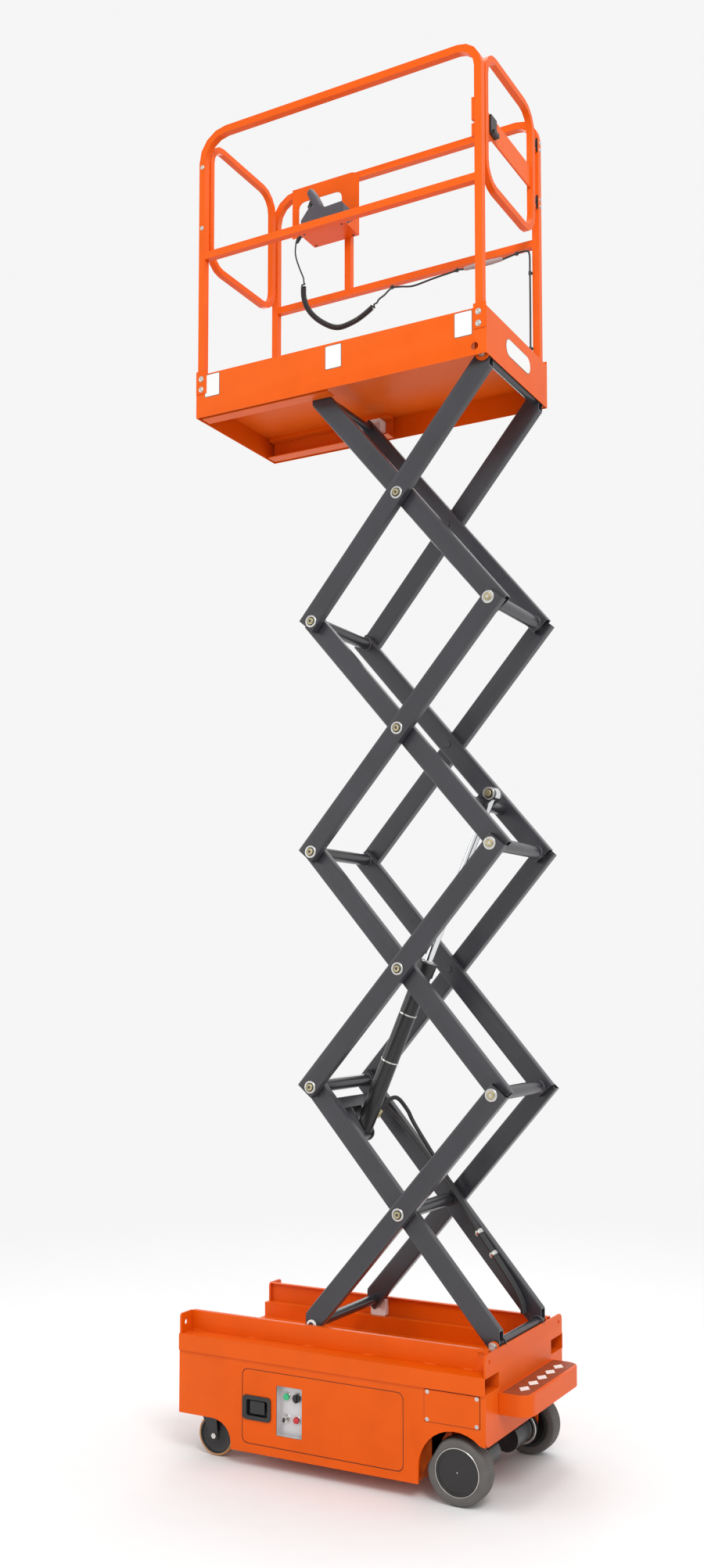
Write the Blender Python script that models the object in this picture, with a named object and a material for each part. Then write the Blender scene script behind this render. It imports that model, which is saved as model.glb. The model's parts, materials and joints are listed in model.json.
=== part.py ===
"""Mini self-propelled scissor lift with four scissor stages, raised, in metres and +Z up.

Every place below is worked out in the frame of the scissor column: x = 0 on its centre pins,
+X towards the entry step, -Y towards the control panel, z = 0 on the floor. An empty then
shifts the whole machine so that the origin is at the middle of its footprint.
"""
import math

import bmesh
import bpy
from mathutils import Matrix, Vector

# ---- driving dimensions ---------------------------------------------------------------------
COLUMN_TO_ORIGIN = 0.200                # the column stands this far from the footprint's middle
BACK_X, END_X, STEP_X = -0.920, 0.400, 0.520
HALF_WIDTH = 0.380

LIFT_ANGLE = math.radians(50.22)        # pin line of a raised arm above level
ARM_PINS = 1.196                        # between an arm's end pins
FOOT_HALF, TOP_HALF = 0.5802, 0.6005    # centre pin to base pivot, centre pin to platform pivot
TOP_OFF_LINE = math.radians(1.74)       # platform pins sit this far above the pin line
PIVOT_Z = 0.542                         # base pivot above the floor
STAGES = 4

ARM_WIDTH, ARM_HEIGHT, ARM_WALL = 0.040, 0.080, 0.004
ARM_END = 0.030                         # arm beyond its end pin
PIN_OFFSET = 0.010                      # end pins off the tube's own centre line, so arms nest
INNER_Y, OUTER_Y = 0.204, 0.248         # centre planes of inner and outer arms
CROSS_R, CROSS_BORE = 0.0255, 0.0165
FOOT_TUBE_R = 0.0205                     # tube on the base pivot, clear of the end plate
SHAFT_R, CENTRE_R, FIT = 0.013, 0.014, 0.0005
WASHER_R, HEAD_FACE = 0.024, 0.277

BAND_BOTTOM, BAND_TOP = 0.405, 0.468
BAND_INNER = 0.250
SIDE_FACE, SIDE_T = 0.372, 0.008
FLOOR_PAN = 0.060

DRIVE_X, DRIVE_R = 0.2804, 0.119
CASTER_X, CASTER_R, CASTER_TRAIL = -0.781, 0.080, 0.030
CASTER_Y = 0.300

DECK_Z, SKIRT_Y = 4.300, 0.306
DECK_BOTTOM, SKIRT_TOP = 4.2016, 4.383
POST_Y, TUBE = 0.2875, 0.030
POST_NEAR_X, POST_BACK_X = 0.3685, -0.900
RAIL_TOP, RAIL_MID = 5.421, 4.897

CYL_FOOT = (-0.300, 1.250)
CYL_EYE = (0.278, 2.583)
BARREL_R, ROD_R = 0.035, 0.017
BARREL_END = 0.745                      # gland face from the foot pivot

# ---- points worked out from them ------------------------------------------------------------
COS, SIN = math.cos(LIFT_ANGLE), math.sin(LIFT_ANGLE)
SPREAD, RISE = ARM_PINS / 2 * COS, ARM_PINS * SIN
FOOT_X = FOOT_HALF * COS
FIRST_CENTRE = PIVOT_Z + FOOT_HALF * SIN
TOP_X = TOP_HALF * math.cos(LIFT_ANGLE + TOP_OFF_LINE)
TOP_PIN_Z = FIRST_CENTRE + (STAGES - 1) * RISE + TOP_HALF * math.sin(LIFT_ANGLE + TOP_OFF_LINE)


def centre_pin(stage):
    return 0.0, FIRST_CENTRE + (stage - 1) * RISE


def side_pin(stage, side):
    """Pin between a stage and the next, side -1 at the back and +1 at the entry."""
    if stage == 0:
        return side * FOOT_X, PIVOT_Z
    if stage == STAGES:
        return side * TOP_X, TOP_PIN_Z
    return side * SPREAD, FIRST_CENTRE + (stage - 0.5) * RISE


# ---- scene and materials --------------------------------------------------------------------
for old in list(bpy.data.objects):
    bpy.data.objects.remove(old, do_unlink=True)

ORIGIN = bpy.data.objects.new("lift_origin", None)
ORIGIN.location = (COLUMN_TO_ORIGIN, 0, 0)
bpy.context.scene.collection.objects.link(ORIGIN)


def material(name, colour, roughness, metallic=0.0):
    made = bpy.data.materials.new(name)
    made.use_nodes = True
    shader = made.node_tree.nodes["Principled BSDF"]
    shader.inputs["Base Color"].default_value = (*colour, 1)
    shader.inputs["Roughness"].default_value = roughness
    shader.inputs["Metallic"].default_value = metallic
    return made


FINISH = {
    "orange": ((0.80, 0.13, 0.012), 0.38, 0.0),
    "charcoal": ((0.055, 0.052, 0.058), 0.42, 0.25),
    "black": ((0.012, 0.012, 0.013), 0.45, 0.0),
    "zinc": ((0.62, 0.61, 0.58), 0.30, 1.0),
    "chrome": ((0.72, 0.73, 0.75), 0.10, 1.0),
    "nylon": ((0.80, 0.80, 0.77), 0.50, 0.0),
    "tyre": ((0.13, 0.13, 0.135), 0.80, 0.0),
    "polyurethane": ((0.45, 0.22, 0.07), 0.45, 0.0),
    "panel": ((0.60, 0.60, 0.61), 0.40, 0.2),
    "green": ((0.02, 0.42, 0.16), 0.30, 0.0),
    "red": ((0.50, 0.01, 0.015), 0.30, 0.0),
    "grip": ((0.06, 0.06, 0.07), 0.60, 0.0),
    "connector": ((0.30, 0.27, 0.27), 0.60, 0.0),
}


def place(mesh, name, finish, pivot=(0, 0, 0)):
    """Link a mesh as one named part, with its origin on the pivot."""
    mesh.transform(Matrix.Translation(-Vector(pivot)))
    mesh.name = name
    mesh.materials.clear()
    mesh.materials.append(material(name + "_" + finish, *FINISH[finish]))
    part = bpy.data.objects.new(name, mesh)
    part.location = pivot
    part.parent = ORIGIN
    bpy.context.scene.collection.objects.link(part)
    return part


# ---- shapes ---------------------------------------------------------------------------------
def mesh_from(points, faces):
    shape = bmesh.new()
    corners = [shape.verts.new(point) for point in points]
    for face in faces:
        shape.faces.new([corners[i] for i in face])
    bmesh.ops.recalc_face_normals(shape, faces=shape.faces)
    mesh = bpy.data.meshes.new("shape")
    shape.to_mesh(mesh)
    shape.free()
    return mesh


def prism(outline, axis, low, high):
    """Extrude an outline along an axis. It holds (y, z), (x, z) or (x, y) for X, Y or Z."""
    at = {"X": lambda p, a: (a, *p), "Y": lambda p, a: (p[0], a, p[1]), "Z": lambda p, a: (*p, a)}
    n = len(outline)
    points = [at[axis](p, a) for a in (low, high) for p in outline]
    sides = [(i, (i + 1) % n, n + (i + 1) % n, n + i) for i in range(n)]
    return mesh_from(points, [tuple(range(n)), tuple(range(n, 2 * n))] + sides)


def box(x0, x1, y0, y1, z0, z1):
    return prism([(x0, y0), (x1, y0), (x1, y1), (x0, y1)], "Z", z0, z1)


def arc(cx, cz, radius, start, end, steps):
    turns = [math.radians(start + (end - start) * i / steps) for i in range(steps + 1)]
    return [(cx + radius * math.cos(t), cz + radius * math.sin(t)) for t in turns]


def disc(centre, radius, axis, low, high, sides=12):
    return prism(arc(*centre, radius, 0, 360, sides)[:-1], axis, low, high)


def rounded(x0, x1, z0, z1, radius, steps=3):
    return (arc(x1 - radius, z1 - radius, radius, 0, 90, steps)
            + arc(x0 + radius, z1 - radius, radius, 90, 180, steps)
            + arc(x0 + radius, z0 + radius, radius, 180, 270, steps)
            + arc(x1 - radius, z0 + radius, radius, 270, 360, steps))


def bent(points, radius, closed=False, steps=4):
    """A path through these points with each corner turned to an arc of this radius."""
    path = []
    last = len(points)
    for i, point in enumerate(points):
        here = Vector(point)
        if not closed and i in (0, last - 1):
            path.append(here)
            continue
        before = (Vector(points[i - 1]) - here).normalized()
        after = (Vector(points[(i + 1) % last]) - here).normalized()
        half = before.angle(after) / 2
        reach = radius / math.tan(half)
        centre = here + (before + after).normalized() * radius / math.sin(half)
        start, end = here + before * reach - centre, here + after * reach - centre
        turn = start.cross(end).normalized()
        sweep = start.angle(end)
        path += [centre + Matrix.Rotation(sweep * k / steps, 3, turn) @ start
                 for k in range(steps + 1)]
    return path


def curved(points, steps=5):
    """A smooth path through hand-set route points."""
    ends = [2 * Vector(points[0]) - Vector(points[1]), *map(Vector, points),
            2 * Vector(points[-1]) - Vector(points[-2])]
    path = []
    for a, b, c, d in zip(ends, ends[1:], ends[2:], ends[3:]):
        for k in range(steps):
            t = k / steps
            path.append(0.5 * (2 * b + (c - a) * t + (2 * a - 5 * b + 4 * c - d) * t * t
                               + (3 * b - a - 3 * c + d) * t ** 3))
    return path + [Vector(points[-1])]


def swept(path, section, normal, closed=False):
    """Sweep a section of (across, along the normal) points down a path."""
    path = [Vector(p) for p in path]
    n, m = len(path), len(section)
    normal = Vector(normal).normalized()
    points = []
    for i, here in enumerate(path):
        before = path[i - 1] if closed or i else here
        after = path[(i + 1) % n] if closed or i < n - 1 else here
        along = (after - before).normalized()
        normal = (normal - along * normal.dot(along)).normalized()
        across = along.cross(normal)
        points += [here + across * u + normal * v for u, v in section]
    loops = n if closed else n - 1
    faces = [(i * m + j, i * m + (j + 1) % m, (i + 1) % n * m + (j + 1) % m, (i + 1) % n * m + j)
             for i in range(loops) for j in range(m)]
    if not closed:
        faces += [tuple(range(m)), tuple(range((n - 1) * m, n * m))]
    return mesh_from(points, faces)


def square_bar(path, normal, closed=False, size=TUBE):
    half = size / 2
    corners = [(-half, -half), (half, -half), (half, half), (-half, half)]
    return swept(path, corners, normal, closed)


def round_bar(path, radius, sides=8, normal=(0.3, 1, 0.2)):
    return swept(path, arc(0, 0, radius, 0, 360, sides)[:-1], normal)


def solid(pieces, cuts=()):
    """One mesh from overlapping pieces, less the cuts."""
    helpers = []

    def group(meshes, name):
        made = bpy.data.collections.new(name)
        bpy.context.scene.collection.children.link(made)
        for mesh in meshes:
            helper = bpy.data.objects.new("helper", mesh)
            made.objects.link(helper)
            helpers.append(helper)
        return made

    body = bpy.data.objects.new("body", pieces[0])
    bpy.context.scene.collection.objects.link(body)
    groups = []
    for meshes, operation in ((pieces[1:], "UNION"), (cuts, "DIFFERENCE")):
        if meshes:
            groups.append(group(meshes, operation.lower()))
            step = body.modifiers.new(operation.lower(), "BOOLEAN")
            step.operation, step.solver = operation, "EXACT"
            step.operand_type, step.collection = "COLLECTION", groups[-1]
    graph = bpy.context.evaluated_depsgraph_get()
    mesh = bpy.data.meshes.new_from_object(body.evaluated_get(graph))
    for helper in [body] + helpers:
        bpy.data.objects.remove(helper, do_unlink=True)
    for made in groups:
        bpy.data.collections.remove(made)
    return mesh


def both(maker):
    """The near and the far side's pieces from one maker that takes the sign of y."""
    return [piece for side in (-1, 1) for piece in maker(side)]


def span(side, low, high):
    """Bounds in y, lowest first, for a piece between these distances from the middle."""
    return (-high, -low) if side < 0 else (low, high)


def shaft(pin, radius, half, sides=12):
    return disc(pin, radius, "Y", -half, half, sides)


# ---- scissor frames -------------------------------------------------------------------------
def arm(low_pin, high_pin, y, low_end=ARM_END, high_end=ARM_END):
    """A hollow rectangular tube past two pins, turned off the pin line so that arms nest."""
    low, high = Vector((low_pin[0], 0, low_pin[1])), Vector((high_pin[0], 0, high_pin[1]))
    along = (high - low).normalized()
    up = Vector((-along.z, 0, along.x)) if along.x > 0 else Vector((along.z, 0, -along.x))
    low, high = low + up * PIN_OFFSET, high - up * PIN_OFFSET
    along = (high - low).normalized()
    up = Vector((-along.z, 0, along.x)) if along.x > 0 else Vector((along.z, 0, -along.x))
    low, high = low - along * low_end, high + along * high_end
    outer = rounded(-ARM_WIDTH / 2, ARM_WIDTH / 2, -ARM_HEIGHT / 2, ARM_HEIGHT / 2, 0.007, 2)
    wall = ARM_WALL
    inner = rounded(wall - ARM_WIDTH / 2, ARM_WIDTH / 2 - wall,
                    wall - ARM_HEIGHT / 2, ARM_HEIGHT / 2 - wall, 0.003, 2)
    n = len(outer)
    middle = Vector((0, y, 0))
    points = [end + middle + Vector((0, v, 0)) + up * w
              for end in (low, high) for ring in (outer, inner) for v, w in ring]
    faces = []
    for i in range(n):
        j = (i + 1) % n
        faces += [(i, j, 2 * n + j, 2 * n + i), (n + i, n + j, 3 * n + j, 3 * n + i),
                  (i, j, n + j, n + i), (2 * n + i, 2 * n + j, 3 * n + j, 3 * n + i)]
    return mesh_from(points, faces)


def on_arm(start, end, along, above):
    """Point at a distance from an arm's start pin, and above its pin line."""
    way = Vector((end[0] - start[0], end[1] - start[1])).normalized()
    up = Vector((-way.y, way.x)) if way.x > 0 else Vector((way.y, -way.x))
    point = Vector(start) + way * along + up * above
    return point.x, point.y


def washer(pin, side, face, radius=WASHER_R):
    return disc(pin, radius, "Y", *span(side, face - 0.001, face + 0.0035), 16)


def cylinder_foot():
    """Beam and ears under the first inner frame that hold the cylinder's foot."""
    top, low = side_pin(1, -1), side_pin(0, 1)
    beam = [on_arm(top, low, a, b) for a, b in
            ((0.058, -0.060), (0.108, -0.060), (0.108, -0.010), (0.058, -0.010))]
    way = math.degrees(LIFT_ANGLE)
    ear = arc(*CYL_FOOT, 0.034, -way - 100, -way + 80, 8)
    ear += [on_arm(top, low, a, b) for a, b in ((0.104, -0.014), (0.062, -0.014), (0.062, -0.050))]
    pieces = [prism(beam, "Y", -0.190, 0.190)]
    for side in (-1, 1):
        pieces.append(prism(ear, "Y", *span(side, 0.0365, 0.0445)))
        pieces.append(disc(CYL_FOOT, 0.016, "Y", *span(side, 0.044, 0.054)))
    return pieces


def cylinder_head():
    """Split stub tubes and cheek plates on the third inner frame, open between the cheeks."""
    low, top = side_pin(2, 1), side_pin(3, -1)
    root = on_arm(low, top, 0.2332, 0.0)
    pieces = []
    for side in (-1, 1):
        pieces.append(disc(root, 0.024, "Y", *span(side, 0.0255, 0.190)))
        cheek = (arc(*CYL_EYE, 0.027, -40, 140, 8)
                 + [on_arm(low, top, 0.257, -0.010), on_arm(low, top, 0.209, -0.010)])
        pieces.append(prism(cheek, "Y", *span(side, 0.0250, 0.0330)))
        pieces.append(disc(CYL_EYE, 0.014, "Y", *span(side, 0.0320, 0.0410)))
    return pieces


def inner_frame(stage):
    low, top = side_pin(stage - 1, 1), side_pin(stage, -1)
    foot_end = 0.016 if stage == 1 else ARM_END
    pieces = [arm(low, top, side * INNER_Y, low_end=foot_end) for side in (-1, 1)]
    reach = INNER_Y + ARM_WIDTH / 2 - 0.001
    cuts = []
    crossings = [low] if stage == STAGES else [low, top]
    if stage == 1:
        crossings.append(centre_pin(1))
    for pin in crossings:
        radius = FOOT_TUBE_R if stage == 1 and pin == low else CROSS_R
        pieces.append(shaft(pin, radius, reach if pin != centre_pin(1) else 0.200, 16))
        cuts.append(shaft(pin, CROSS_BORE, 0.175 if pin == centre_pin(1) else 0.260))
    if stage != 1:
        pieces += [disc(centre_pin(stage), 0.022, "Y", *span(side, 0.1855, 0.2225))
                   for side in (-1, 1)]
    cuts += [disc(centre_pin(stage), CENTRE_R + 0.0006, "Y", *span(side, 0.150, 0.260))
             for side in (-1, 1)]
    if stage == 1:
        pieces += cylinder_foot()
    if stage == 3:
        pieces += cylinder_head()
    if stage == STAGES:
        pieces.append(shaft(top, 0.020, 0.190))
        pieces += [disc(top, 0.010, "Y", *span(side, 0.180, 0.2800), 12) for side in (-1, 1)]
        cuts.append(box(-0.60, -0.404, -0.30, 0.30, 4.0, 4.40))
    if stage == 1:
        cuts.append(box(0.388, 0.60, -0.30, 0.30, 0.30, 0.80))
    place(solid(pieces, cuts), f"inner_frame_{stage}", "charcoal",
          pivot=(low[0], 0, low[1]))


def outer_frame(stage):
    low, top = side_pin(stage - 1, -1), side_pin(stage, 1)
    top_end = 0.022 if stage == STAGES else ARM_END
    pieces = [arm(low, top, side * OUTER_Y, high_end=top_end) for side in (-1, 1)]
    cuts = []
    middle = centre_pin(stage)
    for side in (-1, 1):
        pieces.append(disc(middle, CENTRE_R, "Y", *span(side, 0.180, HEAD_FACE)))
        pieces.append(washer(middle, side, 0.268))
        pieces.append(disc(top, 0.022, "Y", *span(side, 0.2295, 0.2665)))
    if stage == 1:
        pieces.append(shaft(low, 0.020, 0.240))
        pieces += [disc(low, 0.0115, "Y", *span(side, 0.235, 0.2790), 12) for side in (-1, 1)]
        cuts.append(box(-0.60, -0.400, -0.30, 0.30, 0.30, 0.80))
    else:
        pieces.append(shaft(low, SHAFT_R, HEAD_FACE))
        pieces += [washer(low, side, 0.268) for side in (-1, 1)]
    if stage == STAGES:
        pieces.append(shaft(top, 0.020, 0.235))
    bore = SHAFT_R + FIT
    cuts.append(shaft(top, bore, 0.300))
    if stage == STAGES:
        cuts.append(box(0.393, 0.60, -0.30, 0.30, 4.0, 4.40))
    place(solid(pieces, cuts), f"outer_frame_{stage}", "charcoal",
          pivot=(middle[0], 0, middle[1]))


def scissor_pins():
    for stage in range(1, STAGES):
        pin = side_pin(stage, 1)
        pieces = [shaft(pin, SHAFT_R, HEAD_FACE)]
        pieces += [disc(pin, WASHER_R, "Y", *span(side, 0.2684, 0.2716), 20)
                   for side in (-1, 1)]
        place(solid(pieces), f"hinge_pin_{stage}", "zinc", pivot=(pin[0], 0, pin[1]))
    pin = side_pin(STAGES, 1)
    pieces = [shaft(pin, SHAFT_R, 0.288)]
    pieces += [disc(pin, 0.019, "Y", *span(side, 0.2810, 0.2845), 20) for side in (-1, 1)]
    place(solid(pieces), "platform_pivot_pin", "zinc", pivot=(pin[0], 0, pin[1]))
    pin = side_pin(0, 1)
    pieces = [shaft(pin, 0.0125, 0.252)]
    pieces += [disc(pin, 0.018, "Y", *span(side, 0.2405, 0.2440), 20) for side in (-1, 1)]
    place(solid(pieces), "base_pivot_pin", "zinc", pivot=(pin[0], 0, pin[1]))


def slide_blocks():
    for side, where in ((-1, "near"), (1, "far")):
        x, z = side_pin(0, -1)
        lug = arc(x, z, 0.020, 0, 180, 6) + [(x - 0.020, 0.500), (x + 0.020, 0.500)]
        foot = rounded(x - 0.035, x + 0.035, 0.4685, 0.5375, 0.006, 2)
        block = solid([prism(lug, "Y", *span(side, 0.2692, 0.2780)),
                       prism(foot, "Y", *span(side, 0.2692, 0.2945))],
                      [disc((x, z), 0.012, "Y", *span(side, 0.260, 0.300), 12)])
        place(block, f"base_slide_block_{where}", "nylon", pivot=(x, 0, z))
        x, z = side_pin(STAGES, -1)
        block = solid([prism(rounded(x - 0.035, x + 0.035, 4.2066, 4.2790, 0.006, 2), "Y",
                             *span(side, 0.2335, 0.2808))],
                      [disc((x, z), 0.0105, "Y", *span(side, 0.220, 0.300), 12)])
        place(block, f"deck_slide_block_{where}", "nylon", pivot=(x, 0, z))


# ---- lift cylinder --------------------------------------------------------------------------
def lift_cylinder():
    foot, eye = Vector((CYL_FOOT[0], 0, CYL_FOOT[1])), Vector((CYL_EYE[0], 0, CYL_EYE[1]))
    way = (eye - foot).normalized()

    def tube(start, end, radius, sides=20):
        return round_bar([foot + way * start, foot + way * end], radius, sides, (0, 1, 0))

    length = (eye - foot).length
    barrel = solid([tube(0.018, BARREL_END, BARREL_R), tube(0.690, BARREL_END, 0.040),
                    disc(CYL_FOOT, 0.030, "Y", -0.0300, 0.0300),
                    round_bar([foot + way * 0.085 + Vector((0, 0.025, 0)),
                               foot + way * 0.085 + Vector((0, 0.052, 0))], 0.011, 8, (0, 0, 1))],
                   [tube(0.040, 0.900, ROD_R + 0.0008, 16)])
    place(barrel, "cylinder_barrel", "black", pivot=tuple(foot))
    rod = solid([tube(BARREL_END - 0.045, length - 0.010, ROD_R, 16),
                 disc(CYL_EYE, 0.027, "Y", -0.0215, 0.0215)],
                [disc(CYL_EYE, 0.0115, "Y", -0.05, 0.05, 12)])
    place(rod, "cylinder_rod", "chrome", pivot=tuple(eye))


HOSE_R = 0.0085
PRESSURE_ROUTE = [(-0.262, 0.070, 1.318), (-0.246, 0.095, 1.362), (-0.215, 0.135, 1.385),
                  (-0.180, 0.165, 1.335), (-0.140, 0.172, 1.262), (0.022, 0.172, 1.036),
                  (0.130, 0.172, 0.885), (0.225, 0.172, 0.762), (0.285, 0.172, 0.680),
                  (0.318, 0.172, 0.620), (0.326, 0.172, 0.578)]
RETURN_ROUTE = [(-0.288, 0.068, 1.306), (-0.280, 0.085, 1.340), (-0.258, 0.108, 1.352),
                (-0.225, 0.132, 1.318), (-0.185, 0.148, 1.270), (0.022, 0.151, 1.036),
                (0.130, 0.151, 0.885), (0.225, 0.151, 0.762), (0.285, 0.151, 0.680),
                (0.318, 0.151, 0.620), (0.326, 0.151, 0.578)]


def hoses():
    """Two hoses clipped inside the far arm of the first inner frame."""
    for name, route in (("pressure_hose", PRESSURE_ROUTE), ("return_hose", RETURN_ROUTE)):
        place(round_bar(curved(route, 3), HOSE_R, 8), name, "black")


# ---- chassis --------------------------------------------------------------------------------
def side_outline():
    """Side plate in (x, z): raised ahead of the caster, arched over caster and drive wheel."""
    caster = arc(-0.755, CASTER_R, 0.080, 90, 0, 6)
    drive = arc(DRIVE_X, DRIVE_R, 0.147, 180, 49, 12)
    return ([(BACK_X, BAND_BOTTOM + 0.003), (BACK_X, 0.162), (-0.757, 0.162)] + caster[1:]
            + [(-0.675, 0.057), (DRIVE_X - 0.147, FLOOR_PAN)] + drive
            + [(END_X - 0.0035, 0.226), (END_X - 0.0035, BAND_BOTTOM + 0.003)])


DOOR = (-0.622, 0.074, 0.092, 0.372)
WINDOW = (-0.468, -0.355, 0.139, 0.325)


def chassis():
    mount = arc(DRIVE_X, DRIVE_R, 0.055, 180, 360, 10) + [
        (0.345, 0.250), (END_X - 0.003, 0.250), (END_X - 0.003, 0.410),
        (0.120, 0.410), (0.120, 0.250), (0.216, 0.250)]

    def side_pieces(side):
        pieces = [prism(side_outline(), "Y", *span(side, SIDE_FACE - SIDE_T, SIDE_FACE)),
                  box(BACK_X + 0.002, END_X - 0.001, *span(side, BAND_INNER, HALF_WIDTH),
                      BAND_BOTTOM, BAND_TOP),
                  # wheel well wall with the motor mount, and caster plate
                  prism(mount, "Y", *span(side, 0.262, 0.269)),
                  box(-0.900, -0.664, *span(side, 0.225, 0.368), 0.1725, 0.1805),
                  # lugs with a lashing hole at both ends of the rail
                  prism(rounded(*span(side, 0.284, 0.372), 0.44, 0.545, 0.012, 3), "X",
                        BACK_X + 0.001, BACK_X + 0.009)]
        ear = arc(*side_pin(0, 1), 0.020, 0, 180, 8) + [
            (FOOT_X - 0.045, BAND_BOTTOM + 0.001), (END_X - 0.003, BAND_BOTTOM + 0.001)]
        pieces.append(prism(ear, "Y", *span(side, 0.2300, 0.2400)))
        return pieces

    pieces = both(side_pieces)
    pieces += [
        box(BACK_X, END_X - 0.001, -0.262, 0.262, BAND_BOTTOM - 0.002, BAND_BOTTOM + 0.004),
        prism(rounded(-SIDE_FACE, SIDE_FACE, 0.224, 0.545, 0.022, 3), "X", END_X - 0.007, END_X),
        box(BACK_X, BACK_X + 0.007, -0.366, 0.366, 0.162, 0.406),
        box(-0.668, -0.662, -0.366, 0.366, FLOOR_PAN, 0.408),
        box(0.118, 0.124, -0.366, 0.366, FLOOR_PAN, 0.408),
        box(-0.668, 0.124, -0.366, 0.366, FLOOR_PAN, FLOOR_PAN + 0.004),
        box(-0.440, -0.390, -0.3170, -0.3130, FLOOR_PAN, 0.260),
    ]

    def side_cuts(side):
        wall = 0.004
        x, z = CASTER_X - CASTER_TRAIL, 0.176
        return [box(-1.0, 0.60, *span(side, BAND_INNER + wall, HALF_WIDTH - wall),
                    BAND_BOTTOM + wall, BAND_TOP - wall),
                disc((side * 0.338, 0.516), 0.008, "X", END_X - 0.02, END_X + 0.02, 12),
                disc((side * 0.338, 0.506), 0.011, "X", BACK_X - 0.02, BACK_X + 0.02, 12),
                disc((x, side * CASTER_Y), 0.0088, "Z", z - 0.02, z + 0.02, 12),
                disc((DRIVE_X, DRIVE_R), 0.032, "Y", *span(side, 0.255, 0.280)),
                disc(side_pin(0, 1), 0.0130, "Y", *span(side, 0.22, 0.25))]

    cuts = both(side_cuts)
    cuts.append(prism(rounded(*DOOR, 0.025, 3), "Y", -0.376, -0.360))
    place(solid(pieces, cuts), "chassis", "orange")


def track_rails():
    """Angle rails on the bands that keep the slide blocks down."""
    for side, where in ((-1, "near"), (1, "far")):
        x0, x1 = BACK_X + 0.0105, END_X - 0.020
        web = box(x0, x1, *span(side, 0.2965, 0.3000), BAND_TOP + 0.0003, 0.545)
        flange = box(x0, x1, *span(side, 0.2810, 0.2995), 0.5415, 0.545)
        welds = [prism(rounded(x - 0.027, x + 0.027, 0.4683, 0.4725, 0.002, 1), "Y",
                       *span(side, 0.2970, 0.3050))
                 for x in [-0.884 + 0.258 * k for k in range(5)] + [0.300]]
        slot = prism(rounded(0.338, 0.366, 0.522, 0.536, 0.0065, 2), "Y", *span(side, 0.29, 0.31))
        place(solid([web, flange] + welds, [slot]), f"track_rail_{where}", "orange")


def end_step():
    """Folded entry step with ribs across its tread."""
    def plan(inset):
        r = 0.055 - inset
        x, y = STEP_X - inset, 0.260 - inset
        return ([(END_X + 0.0003, -y)] + arc(x - r, -y + r, r, 270, 360, 5)
                + arc(x - r, y - r, r, 0, 90, 5) + [(END_X + 0.0003, y)])
    shell = prism(plan(0), "Z", 0.314, 0.390)
    inside = prism([(x + (0.003 if x < END_X + 0.001 else 0), y) for x, y in plan(0.003)],
                   "Z", 0.300, 0.387)
    place(solid([shell], [inside]), "end_step", "orange")


def side_cover():
    plate = prism(rounded(0.160, 0.377, 0.288, 0.400, 0.004, 1), "Y", -0.3753, -0.3723)
    place(plate, "side_cover", "orange")


def access_door():
    x0, x1, z0, z1 = DOOR
    gap = 0.0015
    hinge = (x1 - gap, -SIDE_FACE, (z0 + z1) / 2)
    door = solid([prism(rounded(x0 + gap, x1 - gap, z0 + gap, z1 - gap, 0.0235, 3), "Y",
                        -SIDE_FACE, -0.3690)],
                 [prism(rounded(*WINDOW, 0.003, 1), "Y", -0.38, -0.36),
                  box(-0.604, -0.502, -0.38, -0.36, 0.194, 0.262)])
    place(door, "access_door", "orange", pivot=hinge)
    flange = prism(rounded(-0.618, -0.491, 0.182, 0.274, 0.014, 3), "Y", -0.3770, -0.3723)
    cup = prism(rounded(-0.6030, -0.5030, 0.195, 0.261, 0.008, 2), "Y", -0.3740, -0.3520)
    hollow = prism(rounded(-0.6000, -0.5060, 0.198, 0.258, 0.007, 2), "Y", -0.40, -0.3545)
    place(solid([flange, cup], [hollow]), "latch_bezel", "black", pivot=hinge)
    pivot = (-0.553, -0.366, 0.250)
    paddle = prism(rounded(-0.586, -0.520, 0.206, 0.254, 0.004, 2), "Y", -0.3735, -0.3660)
    place(paddle, "latch_paddle", "black", pivot=pivot)


PANEL_FACE = -0.3450


def ground_controls():
    """Recessed switch panel seen through the door's window, and its four controls."""
    x0, x1, z0, z1 = WINDOW
    controls = (("green_button", "green", -0.436, 0.282, 0.0130, 0.010),
                ("rotary_switch", "black", -0.390, 0.282, 0.0160, 0.012),
                ("key_switch", "zinc", -0.436, 0.200, 0.0130, 0.010),
                ("red_button", "red", -0.392, 0.200, 0.0130, 0.010))
    cuts = [box(x0 - 0.005, x1 + 0.005, -0.40, PANEL_FACE, z0 - 0.005, z1 + 0.005)]
    for name, finish, x, z, radius, height in controls:
        cap = disc((x, z), radius, "Y", PANEL_FACE - height, PANEL_FACE - 0.0040, 20)
        stem = disc((x, z), radius * 0.6, "Y", PANEL_FACE - 0.0060, PANEL_FACE + 0.0030)
        cuts.append(disc((x, z), radius * 0.6 + 0.0008, "Y", -0.40, PANEL_FACE + 0.0080))
        pieces = [cap, stem]
        if name == "rotary_switch":
            pieces.append(box(x - 0.004, x + 0.004, PANEL_FACE - 0.0170, PANEL_FACE - 0.010,
                              z - 0.015, z + 0.015))
        if name == "key_switch":
            pieces.append(box(x - 0.0015, x + 0.0015, PANEL_FACE - 0.0180, PANEL_FACE - 0.008,
                              z - 0.009, z + 0.009))
        place(solid(pieces), name, finish, pivot=(x, PANEL_FACE, z))
    tray = box(x0 - 0.008, x1 + 0.008, -0.3655, -0.3174, z0 - 0.008, z1 + 0.008)
    place(solid([tray], cuts), "control_panel", "panel")


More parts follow.
